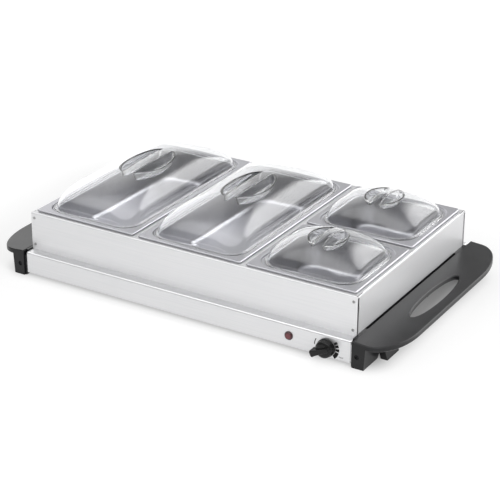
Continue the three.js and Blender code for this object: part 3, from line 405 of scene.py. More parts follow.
def clear_plastic(name):
    """Clear lid moulding with a faint haze: it refracts what it shows and lets the lamps' light through."""
    paint = Paint(name)
    haze = paint.noise(26.0)
    moulding = paint.surface(
        Base_Color=(0.985, 0.99, 0.995, 1),
        Roughness=0.012 + haze.between(0.45, 0.8) * 0.03,
        IOR=1.46,
        Transmission_Weight=1.0,
        Coat_Weight=0.25,
        Coat_Roughness=0.22,
    )
    through = paint.node("ShaderNodeBsdfTransparent", values=[(0.96, 0.965, 0.97, 1)])
    lit = paint.larger(paint.ray("Shadow"), paint.ray("Diffuse"))
    return paint.finish(paint.node("ShaderNodeMixShader", values=[lit, moulding, through]))


def red_lens(name):
    """Deep red moulding with a painted glow: paler in its middle, as if the lamp behind it shone through."""
    paint = Paint(name)
    cloud = paint.noise(400.0)
    place = paint.vectors("SUBTRACT", paint.node("ShaderNodeTexCoord", out="Generated"), (0.5, 0.5, 0.5))
    from_middle = paint.vectors("LENGTH", paint.vectors("MULTIPLY", place, (1, 0, 1)), out="Value")
    # Painted glow: the lens is paler towards its middle
    pale = paint.blend(cloud, (0.16, 0.030, 0.038, 1), (0.11, 0.016, 0.022, 1))
    shader = paint.surface(
        Base_Color=paint.blend(from_middle.between(0.18, 0.46), pale, (0.035, 0.004, 0.007, 1)),
        Roughness=0.22 + cloud * 0.08,
        Coat_Weight=0.35,
    )
    return paint.finish(shader)


def print_ink(name):
    """Black screen print, a little uneven in its cover."""
    paint = Paint(name)
    speckle = paint.noise(900.0)
    colour = paint.blend(speckle, grey(0.004), grey(0.01))
    shader = paint.surface(Base_Color=colour, Roughness=0.55, Specular_IOR_Level=0.15)
    return paint.finish(shader)


FINISHES = {
    "base_steel": satin_steel("satin_steel_base", level=0.78, metallic=0.8, roughness=0.36),
    "rack_steel": satin_steel("satin_steel_rack", level=0.8, metallic=0.42, roughness=0.38),
    "pan_steel": drawn_steel("drawn_pan_steel"),
    "plated_steel": plated_steel("zinc_plated_steel", (0.5, 0.5, 0.5)),
    "blackened_steel": plated_steel("blackened_screw_steel", (0.03, 0.03, 0.033)),
    "element_sheath": plated_steel("oxidised_sheath", (0.22, 0.19, 0.17)),
    "aluminium": plated_steel("rolled_aluminium", (0.75, 0.75, 0.76)),
    "handle_plastic": moulded_plastic(
        "black_handle_moulding", (0.006, 0.006, 0.0068), roughness=0.34, grain_depth=0.04 * MM, shine=0.36
    ),
    "dial_plastic": moulded_plastic(
        "black_dial_moulding", (0.004, 0.004, 0.004), roughness=0.28, grain_depth=0.02 * MM, shine=0.3
    ),
    "clear_plastic": clear_plastic("clear_lid_moulding"),
    "red_lens": red_lens("red_lens_moulding"),
    "pale_plastic": moulded_plastic(
        "pale_moulding", (0.72, 0.68, 0.60), roughness=0.5, grain_depth=0.02 * MM
    ),
}
INK = print_ink("dial_print")

behaviour = frame["record"]["behaviour"]
SLOT_OF = {row["node"]: row["material_slot"] for row in frame["record"]["subparts"]}
BODY_OF = {node: body for body, nodes in behaviour["bodies"].items() for node in nodes}
DIAL_AXIS = next(Vector(row["pos_m"]) for row in behaviour["joints"] if row["name"] == "dial_turn")


def finish_cad_nodes():
    for node, item in frame["nodes"].items():
        item.data.materials.clear()
        item.data.materials.append(FINISHES[SLOT_OF[node]])


# Mesh helpers

def reach_of(node, side):
    """How far a CAD node reaches to the right for side 1, and to the left for side -1."""
    low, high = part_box(node)
    return max(side * low.x, side * high.x)


def placed(name, data):
    item = bpy.data.objects.new(name, data)
    bpy.context.scene.collection.objects.link(item)
    return item


def piece(name, mesh, body, finish):
    """A new object with its finish, riding on a body."""
    item = placed(name, mesh)
    mesh.materials.clear()
    mesh.materials.append(finish)
    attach(item, body)
    return item


def smooth(mesh, sharp_degrees):
    mesh.shade_smooth()
    mesh.set_sharp_from_angle(angle=math.radians(sharp_degrees))


def in_place_of(node, mesh, sharp_degrees):
    """The finished form of one CAD node, which it replaces."""
    smooth(mesh, sharp_degrees)
    item = piece(node + "_shape", mesh, BODY_OF[node], FINISHES[SLOT_OF[node]])
    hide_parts(node)
    return item


def weight_normals(item):
    """Shades a piece by its larger faces, so that its flats stay flat beside their rounded edges."""
    item.modifiers.new("weights", "WEIGHTED_NORMAL").keep_sharp = True


def soften(bm, edges, width, steps):
    bmesh.ops.bevel(
        bm, geom=edges, offset=width, segments=steps, profile=0.5, affect="EDGES", clamp_overlap=True
    )


def refined(node, edge=0.0):
    """The CAD node's own shape with welded faces, softened edges and face-weighted shading."""
    bm = bmesh.new()
    bm.from_mesh(frame["nodes"][node].data)
    bmesh.ops.remove_doubles(bm, verts=bm.verts, dist=WELD)
    bmesh.ops.dissolve_limit(bm, angle_limit=FLAT_ANGLE, verts=bm.verts, edges=bm.edges)
    if edge:
        hard = [e for e in bm.edges if len(e.link_faces) == 2 and e.calc_face_angle(0) > HARD_ANGLE]
        soften(bm, hard, edge, HANDLE_EDGE_STEPS)
    mesh = bpy.data.meshes.new(node + "_refined")
    bm.to_mesh(mesh)
    bm.free()
    item = in_place_of(node, mesh, SHARP_CAD)
    weight_normals(item)
    return item


def block_mesh(low, high):
    """A block between two opposite corners."""
    corners = [(low[0], low[1]), (high[0], low[1]), (high[0], high[1]), (low[0], high[1])]
    rings = [np.array([(x, y, z) for x, y in corners]) for z in (low[2], high[2])]
    mesh = mesh_from_rings("block", rings, cap_first=True, cap_last=True)
    turn_outwards(mesh)
    return mesh


def cut_away(item, blocks):
    """Cuts blocks, each given by two opposite corners, out of a piece."""
    cutters = []
    for low, high in blocks:
        cutter = placed("cutter", block_mesh(low, high))
        item.modifiers.new("cut", "BOOLEAN").object = cutter
        cutters.append(cutter)
    bpy.context.view_layer.update()
    made = bpy.data.meshes.new_from_object(item.evaluated_get(bpy.context.evaluated_depsgraph_get()))
    item.modifiers.clear()
    item.data = made
    for cutter in cutters:
        bpy.data.objects.remove(cutter)
    smooth(made, SHARP_TURNED)


def mesh_from_rings(name, rings, cap_first=False, cap_last=False):
    """Skins rings of equally many points, with flat caps where they are asked for."""
    count = len(rings[0])
    points = np.concatenate([np.asarray(ring, float) for ring in rings])
    faces = []
    for level in range(len(rings) - 1):
        start, after = level * count, (level + 1) * count
        for i in range(count):
            j = (i + 1) % count
            faces.append((start + i, start + j, after + j, after + i))
    if cap_first:
        faces.append(tuple(reversed(range(count))))
    if cap_last:
        last = (len(rings) - 1) * count
        faces.append(tuple(range(last, last + count)))
    mesh = bpy.data.meshes.new(name)
    mesh.from_pydata([tuple(p) for p in points], [], faces)
    mesh.update()
    return mesh


def turn_outwards(mesh):
    """Welds the rings' shared points and turns every face to the outside."""
    bm = bmesh.new()
    bm.from_mesh(mesh)
    bmesh.ops.remove_doubles(bm, verts=bm.verts, dist=RING_WELD)
    bmesh.ops.recalc_face_normals(bm, faces=bm.faces)
    bm.to_mesh(mesh)
    bm.free()


def rectangle_ring(half_x, half_y, radius, z, steps):
    """A rectangle with round corners, as points that go round against the clock."""
    quarter = np.linspace(0, math.pi / 2, steps + 1)
    radius = min(radius, half_x, half_y)
    ring = []
    for turn, (sx, sy) in enumerate([(1, 1), (-1, 1), (-1, -1), (1, -1)]):
        angles = quarter + turn * math.pi / 2
        x = sx * (half_x - radius) + radius * np.cos(angles)
        y = sy * (half_y - radius) + radius * np.sin(angles)
        ring.append(np.stack([x, y, np.full_like(x, z)], 1))
    return np.concatenate(ring)


def filleted(rows, steps=5):
    """Rows such as (inset, height, corner radius, fillet), with each bend of the first two rounded."""
    out = [rows[0][:3]]
    for before, here, after in zip(rows, rows[1:], rows[2:]):
        bend = here[3]
        a, b, c = (np.array(row[:3], float) for row in (before, here, after))
        back, ahead = a[:2] - b[:2], c[:2] - b[:2]
        length_back, length_ahead = np.linalg.norm(back), np.linalg.norm(ahead)
        if not bend:
            out.append(tuple(b))
            continue
        half = math.acos(np.clip(np.dot(back, ahead) / (length_back * length_ahead), -1, 1)) / 2
        reach = min(bend / math.tan(half), length_back * NEARLY_HALF, length_ahead * NEARLY_HALF)
        start = b + (a - b) * reach / length_back
        stop = b + (c - b) * reach / length_ahead
        for step in range(steps + 1):
            t = step / steps
            out.append(tuple(start * (1 - t) ** 2 + b * 2 * t * (1 - t) + stop * t ** 2))
    out.append(rows[-1][:3])
    return out


# Pans

def steel_pan(word):
    """One pan: its curled lip, flat rim, step down to the lid's ledge, walls and rounded floor."""
    node = "pan_" + word
    low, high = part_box(node)
    centre = (low + high) / 2
    half_x, half_y = (high.x - low.x) / 2, (high.y - low.y) / 2
    top, floor = high.z, low.z + PAN_SHEET
    ledge = top - PAN_STEP
    step_foot = PAN_RIM + PAN_SLOPE
    mouth = step_foot + PAN_LEDGE
    floor_foot = mouth + PAN_TAPER
    roll = [
        (PAN_ROLL * (1 - math.sin(turn)), top - PAN_ROLL * (1 - math.cos(turn)), PAN_OUTER_RADIUS, 0)
        for turn in np.linspace(math.pi / 2, 0, PAN_ROLL_STEPS)
    ]
    rows = filleted([
        (PAN_CURL, top - PAN_LIP, PAN_OUTER_RADIUS, 0),
        *roll,
        (PAN_RIM, top, PAN_MOUTH_RADIUS, PAN_RIM_ROUND),
        (step_foot, ledge, PAN_MOUTH_RADIUS, PAN_RIM_ROUND),
        (mouth, ledge, PAN_MOUTH_RADIUS, PAN_LEDGE_ROUND),
        (floor_foot, floor, PAN_FLOOR_RADIUS, PAN_FLOOR_ROUND),
        (floor_foot + 2 * PAN_FLOOR_ROUND, floor, PAN_FLOOR_RADIUS / 2, 0),
    ], steps=PAN_ROUND_STEPS)
    rings = [
        rectangle_ring(half_x - inset, half_y - inset, radius, z, PAN_CORNER_STEPS)
        for inset, z, radius in rows
    ]
    mesh = mesh_from_rings(node + "_mesh", rings, cap_last=True)
    mesh.transform(Matrix.Translation((centre.x, centre.y, 0)))
    turn_outwards(mesh)
    item = in_place_of(node, mesh, SHARP_FORMED)
    wall = item.modifiers.new("sheet", "SOLIDIFY")
    wall.thickness = PAN_SHEET
    wall.offset = -1
    wall.use_even_offset = False
    weight_normals(item)


# Lids

def outline_at(half_x, half_y, radius, cos, sin):
    """Where rays from the centre, given in shares of the half sizes, meet a rectangle with round corners."""
    px, py = np.abs(half_x * cos), np.abs(half_y * sin)
    above_zero = 1e-12
    reach = np.minimum(half_x / np.maximum(px, above_zero), half_y / np.maximum(py, above_zero))
    x, y = px * reach, py * reach
    corner_x, corner_y = half_x - radius, half_y - radius
    in_corner = (x > corner_x) & (y > corner_y)
    a = px ** 2 + py ** 2
    b = -2 * (px * corner_x + py * corner_y)
    c = corner_x ** 2 + corner_y ** 2 - radius ** 2
    root = (-b + np.sqrt(np.maximum(b * b - 4 * a * c, 0))) / (2 * a)
    reach = np.where(in_corner, root, reach)
    return half_x * cos * reach, half_y * sin * reach


class Dome:
    """The lid's outer skin: level curves that shrink and round out from the foot to the crown."""

    def __init__(self, half_x, half_y, foot, crown, corner, powers):
        self.half_x = half_x
        self.half_y = half_y
        self.foot = foot
        self.crown = crown
        self.corner = corner
        self.powers = powers

    def level(self, share):
        width_fall, width_root, length_fall, length_root, corner_rise = self.powers
        x = self.half_x * (1 - share ** width_fall) ** (1 / width_root)
        y = self.half_y * (1 - share ** length_fall) ** (1 / length_root)
        radius = self.corner + (np.minimum(x, y) - self.corner) * share ** corner_rise
        return x, y, np.minimum(radius, np.minimum(x, y))

    def ring(self, share, cos, sin):
        x, y = outline_at(*self.level(share), cos, sin)
        return np.stack([x, y, np.full_like(x, self.foot + (self.crown - self.foot) * share)], 1)

    def height(self, x, y):
        """The skin's height over points in plan, found by halving."""
        low = np.zeros_like(x)
        high = np.full_like(x, NEARLY_CROWN)
        for _ in range(HALVINGS):
            middle = (low + high) / 2
            half_x, half_y, radius = self.level(middle)
            dx = np.abs(x) - (half_x - radius)
            dy = np.abs(y) - (half_y - radius)
            reach = np.hypot(np.maximum(dx, 0), np.maximum(dy, 0)) + np.minimum(np.maximum(dx, dy), 0)
            high = np.where(reach > radius, middle, high)
            low = np.where(reach > radius, low, middle)
        return self.foot + (self.crown - self.foot) * low


def pocket_ring(grip, inset):
    """The right half of the oval grip, drawn in by the inset: its arc, then its straight side by the rib."""
    semi_x, semi_y = grip["half_x"] - inset, grip["half_y"] - inset
    chord = grip["rib"] / 2 + inset
    start = math.acos(chord / semi_x)
    arc = np.linspace(-start, start, ARC_STEPS + 1)
    x, y = semi_x * np.cos(arc), semi_y * np.sin(arc)
    back = np.linspace(y[-1], y[0], RIB_ROWS + 1)[1:-1]
    return np.concatenate([x, np.full(RIB_ROWS - 1, chord)]), np.concatenate([y, back])


def pocket_profile(depth):
    """A pocket's section as insets and drops: a rounded edge, a drawn wall and the bend into the floor."""
    edge_turns = np.linspace(0, GRIP_EDGE_TURN, GRIP_EDGE_STEPS + 1)[1:]
    profile = [(GRIP_EDGE_LEAN * GRIP_EDGE * math.sin(t), GRIP_EDGE * (1 - math.cos(t))) for t in edge_turns]
    wall_top = profile[-1]
    wall_end = (wall_top[0] + GRIP_DRAFT, depth - GRIP_FLOOR_ROUND)
    for t in np.linspace(0, 1, GRIP_WALL_STEPS + 1)[1:]:
        profile.append((wall_top[0] * (1 - t) + wall_end[0] * t, wall_top[1] * (1 - t) + wall_end[1] * t))
    for t in np.linspace(0, math.pi / 2, GRIP_FLOOR_STEPS + 1)[1:]:
        inset = wall_end[0] + GRIP_FLOOR_ROUND * (1 - math.cos(t))
        profile.append((inset, wall_end[1] + GRIP_FLOOR_ROUND * math.sin(t)))
    return profile


class Skin:
    """A lid's points and faces, as its stretches are added."""

    def __init__(self):
        self.points = []
        self.faces = []

    def add(self, points):
        """Adds points and returns their numbers."""
        start = len(self.points)
        self.points.extend(tuple(point) for point in points)
        return list(range(start, len(self.points)))

    def join(self, before, after):
        """Adds the faces between two closed rings of equally many points."""
        for i in range(len(before)):
            j = (i + 1) % len(before)
            self.faces.append((before[i], before[j], after[j], after[i]))


def lid_dome(skin, dome, grip):
    """Adds rings from the flange up the dome to the grip's oval, and returns the oval's points."""
    corner = math.acos(grip["rib"] / 2 / grip["half_x"])
    right = np.linspace(-corner, corner, ARC_STEPS + 1)[:-1]
    over = np.linspace(corner, math.pi - corner, RIB_STEPS + 1)[:-1]
    angles = np.concatenate([right, over, right + math.pi, over + math.pi])
    cos, sin = np.cos(angles), np.sin(angles)
    rings = []
    for grow, rise in FLANGE_SECTION:
        out = grow * MM
        x, y = outline_at(dome.half_x + out, dome.half_y + out, dome.corner + out, cos, sin)
        rings.append(np.stack([x, y, np.full_like(x, dome.foot + rise * MM)], 1))
    for share in SHOULDER_SHARES:
        rings.append(dome.ring(share, cos, sin))
    shoulder = rings[-1]
    oval_x, oval_y = grip["half_x"] * cos, grip["half_y"] * sin
    for share in np.linspace(0, 1, CROWN_RINGS + 1)[1:]:
        x = shoulder[:, 0] * (1 - share) + oval_x * share
        y = shoulder[:, 1] * (1 - share) + oval_y * share
        rings.append(np.stack([x, y, dome.height(x, y)], 1))
    rings = [skin.add(ring) for ring in rings]
    for before, after in zip(rings, rings[1:]):
        skin.join(before, after)
    return rings[-1]


def grip_rib(skin, dome, oval):
    """Adds the rib between the pockets and returns its columns, which run from front to back."""
    columns = []
    share = np.linspace(0, 1, RIB_ROWS + 1)[1:-1, None]
    for i in range(RIB_STEPS + 1):
        front, back = oval[-i], oval[ARC_STEPS + i]
        column = np.array(skin.points[front]) * (1 - share) + np.array(skin.points[back]) * share
        column[:, 2] = dome.height(column[:, 0], column[:, 1])
        columns.append([front] + skin.add(column) + [back])
    for left, right in zip(columns, columns[1:]):
        skin.faces += [(left[i], right[i], right[i + 1], left[i + 1]) for i in range(RIB_ROWS)]
    return columns


def finger_pocket(skin, grip, crown, side, edge):
    """Adds one pocket, which starts at its edge's uneven height and levels out on its way down."""
    edge_height = np.array([skin.points[i][2] for i in edge])
    before = edge
    for inset, drop in pocket_profile(grip["depth"]):
        x, y = pocket_ring(grip, inset)
        settled = min(drop / (GRIP_LEVELLED * grip["depth"]), 1)
        z = edge_height * (1 - settled) + crown * settled - drop
        ring = skin.add(np.stack([side * x, side * y, z], 1))
        skin.join(before, ring)
        before = ring
    skin.faces.append(tuple(before))


def clear_lid(word, form, grip):
    """One lid: its flange and dome, the rib of its grip, and the pockets on both sides of the rib."""
    node = "lid_" + word
    low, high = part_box(node)
    centre = (low + high) / 2
    foot_x, foot_y = (high.x - low.x) / 2 - LID_FLANGE, (high.y - low.y) / 2 - LID_FLANGE
    dome = Dome(foot_x, foot_y, low.z + LID_SHEET, high.z, **form)
    skin = Skin()
    oval = lid_dome(skin, dome, grip)
    columns = grip_rib(skin, dome, oval)
    half = ARC_STEPS + RIB_STEPS
    right_edge = oval[:ARC_STEPS + 1] + columns[0][1:-1][::-1]
    left_edge = oval[half:half + ARC_STEPS + 1] + columns[-1][1:-1]
    finger_pocket(skin, grip, high.z, 1, right_edge)
    finger_pocket(skin, grip, high.z, -1, left_edge)

    mesh = bpy.data.meshes.new(node + "_mesh")
    mesh.from_pydata(skin.points, [], skin.faces)
    mesh.transform(Matrix.Translation((centre.x, centre.y, 0)))
    turn_outwards(mesh)
    item = in_place_of(node, mesh, SHARP_FORMED)
    wall = item.modifiers.new("sheet", "SOLIDIFY")
    wall.thickness = LID_WALL
    wall.offset = -1


# Rack

def rack_end(side):
    """An end panel of the rack, cut back to leave an open seam at both corners; 1 is the right side."""
    node = "rack_" + ("right" if side > 0 else "left") + "_panel"
    item = refined(node)
    low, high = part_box(node)
    outer = reach_of(node, side)
    blocks = []
    for end, face in ((-1, low.y), (1, high.y)):
        corner = np.array([side * (outer - SEAM_DEPTH), face - end * SEAM_WIDTH, low.z - CUT_PAST])
        beyond = np.array([side * (outer + CUT_PAST), face + end * CUT_PAST, high.z - SEAM_TOP])
        blocks.append((np.minimum(corner, beyond), np.maximum(corner, beyond)))
    cut_away(item, blocks)


# Turned and cut pieces: knob, lens, screws and the printed scale

def round_ring(radius, along, sides):
    """A ring round an axis that points to -Y; its radius may vary from point to point."""
    angles = np.linspace(0, 2 * math.pi, sides, endpoint=False)
    return np.stack([radius * np.cos(angles), np.full(sides, -along), radius * np.sin(angles)], 1)


def turned(rows, sides):
    """Rings from rows whose first two values are a radius and a distance along the axis."""
    return [round_ring(row[0], row[1], sides) for row in rows]


def prism(name, outline, start, stop, edge=0.0):
    """A closed form with its outline in X and Z, from start to stop along -Y, its front edge rounded."""
    rings = [np.array([(x, -along, z) for x, z in outline]) for along in (start, stop)]
    mesh = mesh_from_rings(name, rings, cap_first=True, cap_last=True)
    bm = bmesh.new()
    bm.from_mesh(mesh)
    if edge:
        front = [e for e in bm.edges if all(abs(v.co.y + stop) < RING_WELD for v in e.verts)]
        soften(bm, front, edge, KNOB_EDGE_STEPS)
    bmesh.ops.recalc_face_normals(bm, faces=bm.faces)
    bm.to_mesh(mesh)
    bm.free()
    return mesh


def bow(start, bend, stop, steps=10):
    """The points of a quadratic curve, without its first one."""
    shares = np.linspace(0, 1, steps + 1)[1:, None]
    start, bend, stop = (np.array(point) for point in (start, bend, stop))
    return start * (1 - shares) ** 2 + bend * 2 * shares * (1 - shares) + stop * shares ** 2


def grip_outline():
    """The dial's grip from the front: a bar with bowed sides that widens to its blunt pointer."""
    half, tip = KNOB_GRIP_HALF, KNOB_TIP_HALF
    tail = (-KNOB_TAIL_REACH, half * KNOB_TAIL_SHARE)
    shoulder = (KNOB_TIP_REACH * KNOB_SHOULDER_SHARE, tip)
    bend = (KNOB_TIP_REACH * KNOB_BEND_SHARES[0], tip * KNOB_BEND_SHARES[1])
    side = [
        bow(tail, (-KNOB_TAIL_REACH / 2, half), (0, half)),
        bow((0, half), (KNOB_BODY, half), shoulder),
        bow(shoulder, bend, (KNOB_TIP_REACH * KNOB_POINT_SHARE, 0)),
    ]
    upper = np.concatenate([[tail], *side])
    lower = upper[-2::-1] * (1, -1)
    return np.concatenate([upper, lower])[::-1]


def joined_mesh(name, meshes):
    """One mesh that holds several closed forms."""
    bm = bmesh.new()
    for mesh in meshes:
        bm.from_mesh(mesh)
    made = bpy.data.meshes.new(name)
    bm.to_mesh(made)
    bm.free()
    return made


def dial_knob():
    """The dial: a turned skirt and body, and the grip across it, at the angle that the photograph shows."""
    profile = filleted([
        (0.4 * KNOB_SKIRT, 0, 0, 0),
        (KNOB_SKIRT, 0, 0, KNOB_FINE_EDGE),
        (KNOB_SKIRT, KNOB_SKIRT_DEPTH, 0, KNOB_SKIRT_EDGE),
        (KNOB_BODY, KNOB_SKIRT_DEPTH + KNOB_SKIRT_RISE, 0, KNOB_FINE_EDGE),
        (0.97 * KNOB_BODY, 0.82 * KNOB_BODY_DEPTH, 0, KNOB_BODY_ROUND),
        (0.72 * KNOB_BODY, KNOB_BODY_DEPTH, 0, KNOB_BODY_ROUND),
        (0.02 * KNOB_BODY, 1.06 * KNOB_BODY_DEPTH, 0, 0),
    ])
    rings = turned(profile, TURNED_SIDES)
    body = mesh_from_rings("knob_body", rings, cap_first=True, cap_last=True)
    bar = prism("knob_bar", grip_outline(), KNOB_SKIRT_DEPTH, KNOB_GRIP_DEPTH, edge=KNOB_GRIP_EDGE)
    bar.transform(Matrix.Rotation(-KNOB_TIP_ANGLE, 4, "Y"))
    mesh = joined_mesh("control_knob_mesh", [body, bar])
    mesh.transform(Matrix.Translation((DIAL_AXIS.x, DIAL_AXIS.y - KNOB_STANDOFF, DIAL_AXIS.z)))
    turn_outwards(mesh)
    weight_normals(in_place_of("control_knob", mesh, SHARP_TURNED))


def lamp_lens():
    """The indicator's lens: a low cap with a bevelled collar."""
    low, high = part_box("indicator_lens")
    radius, depth = (high.z - low.z) / 2, high.y - low.y
    profile = filleted([
        (radius, 0, 0, 0),
        (radius, 0.34 * depth, 0, LENS_EDGE),
        (0.9 * radius, 0.4 * depth, 0, LENS_EDGE),
        (0.84 * radius, 0.85 * depth, 0, LENS_SHOULDER),
        (0.5 * radius, depth, 0, LENS_CROWN),
        (0.02 * radius, depth, 0, 0),
    ])
    rings = turned(profile, TURNED_SIDES)
    mesh = mesh_from_rings("indicator_lens_mesh", rings, cap_first=True, cap_last=True)
    mesh.transform(Matrix.Translation(((low.x + high.x) / 2, high.y, (low.z + high.z) / 2)))
    turn_outwards(mesh)
    in_place_of("indicator_lens", mesh, SHARP_LENS)


def cross_ring(reach, waist, along):
    """The outline of a screw's cross recess: far out along its four arms and narrow between them."""
    angles = np.linspace(0, 2 * math.pi, SCREW_SIDES, endpoint=False)
    return round_ring(waist + (reach - waist) * np.abs(np.cos(2 * angles)) ** 5, along, SCREW_SIDES)


def screw(node):
    """A domed screw with a cross recess and a threaded shank; its head is at the end of the node's box."""
    low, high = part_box(node)
    centre = (low + high) / 2
    along_z = node.startswith("cover")
    length = high.z - low.z if along_z else high.y - low.y
    head = (high.x - low.x) / 2
    rise = SCREW_RISE * head
    shank = SCREW_SHANK * head
    threads = int((length - 2 * rise) / THREAD_PITCH * 2)
    rows = [(SCREW_TIP * shank, -length)]
    for i in range(threads):
        rows.append((shank * (1 if i % 2 else THREAD_ROOT), -length + (i + 1) * THREAD_PITCH / 2))
    rows.append((shank, -SCREW_HEAD[0][1] * rise))
    rows += [(share * head, -drop * rise) for share, drop in SCREW_HEAD]
    rows += [(head * math.cos(t), -rise + rise * math.sin(t)) for t in SCREW_DOME_ANGLES]
    rings = turned(rows, SCREW_SIDES)
    rings += [cross_ring(reach * head, waist * head, -drop * rise) for reach, waist, drop in SCREW_CROSS]
    mesh = mesh_from_rings(node + "_mesh", rings, cap_first=True, cap_last=True)
    if along_z:
        mesh.transform(Matrix.Rotation(math.pi / 2, 4, "X"))
        mesh.transform(Matrix.Translation((centre.x, centre.y, low.z)))
    elif centre.y > 0:
        mesh.transform(Matrix.Rotation(math.pi, 4, "Z"))
        mesh.transform(Matrix.Translation((centre.x, high.y, centre.z)))
    else:
        mesh.transform(Matrix.Translation((centre.x, low.y, centre.z)))
    turn_outwards(mesh)
    in_place_of(node, mesh, SHARP_TURNED)


def printed(name, outline):
    """A thin film of ink on the base's front face, its outline in X and Z from the dial's axis."""
    mesh = prism(name + "_mesh", outline, 0, INK_DEPTH)
    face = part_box("base_shell")[0].y
    mesh.transform(Matrix.Translation((DIAL_AXIS.x, face - INK_SUNK, DIAL_AXIS.z)))
    piece(name, mesh, "base", INK)


def sector(inner, outer, start, stop, steps=10):
    """The outline of a slice of a ring, between two angles in degrees."""
    angles = np.radians(np.linspace(start, stop, steps + 1))
    arc = np.stack([np.cos(angles), np.sin(angles)], 1)
    return np.concatenate([outer * arc, inner * arc[::-1]])


def dial_print():
    """The marks round the dial: four growing blocks, a tick, and the word at the end of its scale."""
    for i, (start, stop) in enumerate(SCALE_BLOCKS):
        printed(f"scale_block_{i + 1}", sector(SCALE_INNER, SCALE_OUTER, start, stop))
    printed("scale_tick", sector(SCALE_OUTER - TICK_WIDTH, SCALE_OUTER, *TICK_ANGLES))
    words = bpy.data.curves.new("scale_word", "FONT")
    words.body = "MAX"
    words.size = WORD_HEIGHT
    words.extrude = INK_DEPTH / 2
    item = placed("scale_word", words)
    item.rotation_euler = (math.pi / 2, 0, 0)
    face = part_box("base_shell")[0].y
    item.location = (DIAL_AXIS.x + WORD_PLACE[0], face - INK_DEPTH / 2, DIAL_AXIS.z + WORD_PLACE[1])
    words.materials.append(INK)
    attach(item, "base")


# Handles

def shade_lip_sections(wall, top):
    """The lip's two sections, over the bend at the end of the base: one solid, and one thin and upright, a
    dark sheet that lines the gap beside the rack as painted shade.
    """
    end = wall + BASE_PROUD
    into_handle = end + HANDLE_GAP + LIP_INTO_PLATE
    base_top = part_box("base_shell")[1].z
    bend_x, bend_z = end - LIP_CLEARANCE - BASE_BEND, base_top - BASE_BEND
    over_bend = [
        (x, bend_z + math.sqrt(max(BASE_BEND ** 2 - (x - bend_x) ** 2, 0)) + LIP_CLEARANCE)
        for x in np.linspace(wall, end - 1.5 * LIP_CLEARANCE, LIP_BEND_STEPS)
    ]
    under = over_bend + [(end, bend_z)]
    solid = under + [(into_handle, bend_z), (into_handle, top), (wall, top)]
    # The thin upright: a dark sheet of handle plastic that lines the gap beside the rack, as painted shade
    thin = under + [
        (end + LIP_SHEET, bend_z),
        (end + LIP_SHEET, bend_z + LIP_SHEET),
        (wall + LIP_SHEET, base_top - LIP_SHEET),
        (wall + LIP_SHEET, top),
        (wall, top),
    ]
    return solid, thin


def shade_lip_stretches(side, solid, thin):
    """The lip's three stretches from front to back: solid, thin and solid again."""
    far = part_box("rack_back_panel")[1].y
    meshes = []
    for section, start, stop in (
        (solid, -far, -far + LIP_SOLID_END),
        (thin, -far + LIP_SOLID_END - LIP_INTO_PLATE, far - LIP_SOLID_END + LIP_INTO_PLATE),
        (solid, far - LIP_SOLID_END, far),
    ):
        rings = [np.array([(side * x, y, z) for x, z in section]) for y in (start, stop)]
        stretch = mesh_from_rings("lip", rings, cap_first=True, cap_last=True)
        turn_outwards(stretch)
        meshes.append(stretch)
    return meshes


def handle(side):
    """The CAD handle with softened edges, and a dark plastic lip, partly painted shade, that closes it
    against the rack; 1 is the right side.
    """
    word = "right" if side > 0 else "left"
    node = "handle_" + word
    item = refined(node, edge=HANDLE_EDGE)
    wall = reach_of("rack_" + word + "_panel", side) + LIP_CLEARANCE
    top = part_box(node)[1].z - LIP_BELOW_PLATE
    finish = item.data.materials[0]
    lip = shade_lip_stretches(side, *shade_lip_sections(wall, top))
    item.data = joined_mesh(node + "_mesh", [item.data, *lip])
    item.data.materials.append(finish)
    smooth(item.data, SHARP_CAD)


# Studio and camera

def seen_rays(paint):
    """1 for the rays that show a surface: from the camera, in a mirror or through the clear lids."""
    return paint.larger(paint.ray("Camera"), paint.larger(paint.ray("Glossy"), paint.ray("Transmission")))


def pale_floor():
    corners = [(x * FLOOR_REACH, y * FLOOR_REACH, 0) for x, y in ((-1, -1), (1, -1), (1, 1), (-1, 1))]
    mesh = bpy.data.meshes.new("floor")
    mesh.from_pydata(corners, [], [(0, 1, 2, 3)])
    floor = placed("floor", mesh)
    floor.location.z = cad_low.z - FLOOR_DROP
    paint = Paint("pale_floor")
    seen = seen_rays(paint)
    level = paint.blend(seen, grey(FLOOR_LIGHT_LEVEL), grey(FLOOR_LEVEL))
    matt = paint.surface(Base_Color=level, Roughness=1.0, Specular_IOR_Level=0.0)

    # The distance outside the server's outline, which is negative under it
    corner = (cad_high.x - SHADE_ROUND, cad_high.y + SHADE_FORWARD - SHADE_ROUND, 1)
    from_corner = paint.vectors("SUBTRACT", paint.vectors("ABSOLUTE", paint.place()), corner)
    beyond = paint.vectors("MAXIMUM", from_corner, (0, 0, 0))
    outside = paint.vectors("LENGTH", beyond, out="Value") - SHADE_ROUND
    # Painted shade: the floor's glow is dimmed under and near the server, and lifts again far from it
    past_painted_shade = outside.between(SHADE_FROM, SHADE_TO)
    glow_after_painted_shade = DEEP_SHADE_GLOW + past_painted_shade * FLOOR_GLOW + outside.between(*FAR_SHADE_FADE) * FAR_GLOW
    glow = paint.node("ShaderNodeEmission", values={"Color": grey(1), "Strength": seen * glow_after_painted_shade})
    pale = paint.node("ShaderNodeAddShader", values=[matt, glow])

    # Clear from below, so that a view from there shows the underside
    from_below = paint.node("ShaderNodeNewGeometry", out="Backfacing")
    clear = paint.node("ShaderNodeBsdfTransparent")
    mesh.materials.append(paint.finish(paint.node("ShaderNodeMixShader", values=[from_below, pale, clear])))


def wall_light(paint, height, wall):
    return paint.blend(height.between(*wall["heights"]), *(grey(level) for level in wall["levels"]))


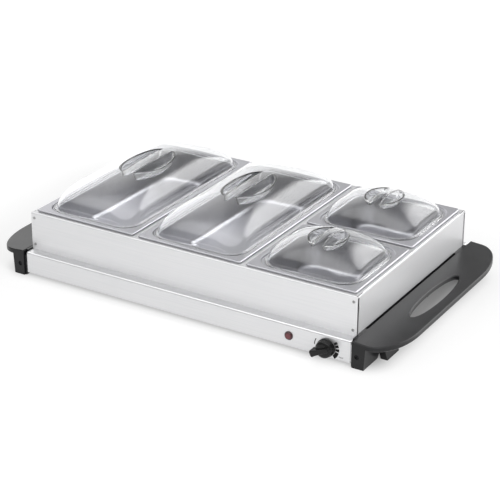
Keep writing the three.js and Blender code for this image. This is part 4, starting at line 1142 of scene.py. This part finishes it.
def soft_room():
    """White to the camera, even to what it lights, and a room with two bright patches to the mirrors."""
    world = bpy.data.worlds.new("studio")
    bpy.context.scene.world = world
    paint = Paint("studio", world)
    way = paint.node("ShaderNodeTexCoord", out="Generated")
    height, depth = (paint.node("ShaderNodeSeparateXYZ", values=[way], out=axis) for axis in "ZY")
    front, back = (wall_light(paint, height, wall) for wall in (FRONT_WALL, BACK_WALL))
    room = paint.blend(depth.between(*WALLS_MEET), front, back)
    for patch in BRIGHT_PATCHES:
        towards = paint.vectors("DOT_PRODUCT", way, patch["way"], out="Value")
        room = paint.blend(towards.between(*patch["edge"]), room, grey(patch["level"]))
    lit = paint.blend(seen_rays(paint), grey(WORLD_LEVEL), room)
    colour = paint.blend(paint.ray("Camera"), lit, grey(1))
    paint.finish(paint.node("ShaderNodeBackground", values=[colour]))


def lamp(name, place, size, power):
    """A soft rectangular lamp that lights surfaces but isn't seen in mirrors or through the lids."""
    light = bpy.data.lights.new(name, "AREA")
    light.shape = "RECTANGLE"
    light.size, light.size_y = size
    light.energy = power
    item = placed(name, light)
    item.location = place
    item.rotation_euler = (Vector(LAMP_AIM) - Vector(place)).to_track_quat("-Z", "Y").to_euler()
    item.visible_glossy = False
    item.visible_transmission = False


def camera():
    """The camera at the photograph's place, from its forward direction and its roll."""
    forward = Vector(CAMERA_FORWARD).normalized()
    level = forward.cross(Vector((0, 0, 1))).normalized()
    upright = level.cross(forward)
    cos, sin = math.cos(CAMERA_ROLL), math.sin(CAMERA_ROLL)
    right = level * cos + upright * sin
    up = upright * cos - level * sin
    data = bpy.data.cameras.new("photo_camera")
    data.lens = CAMERA_LENS
    data.sensor_width = SENSOR_WIDTH
    item = placed("photo_camera", data)
    turn = Matrix((right, up, -forward)).transposed().to_4x4()
    item.matrix_world = Matrix.Translation(Vector(CAMERA_PLACE) * MM) @ turn
    bpy.context.scene.camera = item


camera()
pale_floor()
soft_room()
for row in LAMPS:
    lamp(*row)
finish_cad_nodes()
for word, form, grip in (
    ("left", LONG_DOME, LONG_GRIP),
    ("middle", LONG_DOME, LONG_GRIP),
    ("front", SMALL_DOME, SMALL_GRIP),
    ("rear", SMALL_DOME, SMALL_GRIP),
):
    steel_pan(word)
    clear_lid(word, form, grip)
for node in (
    "base_shell", "rack_front_panel", "rack_back_panel",
    "rack_divider_left", "rack_divider_right", "rack_divider_short",
):
    refined(node)
rack_end(1)
rack_end(-1)
handle(1)
handle(-1)
dial_knob()
lamp_lens()
dial_print()
for node in frame["nodes"]:
    if "_screw_" in node:
        screw(node)

bpy.context.scene.view_settings.view_transform = "Standard"
bpy.context.view_layer.update()
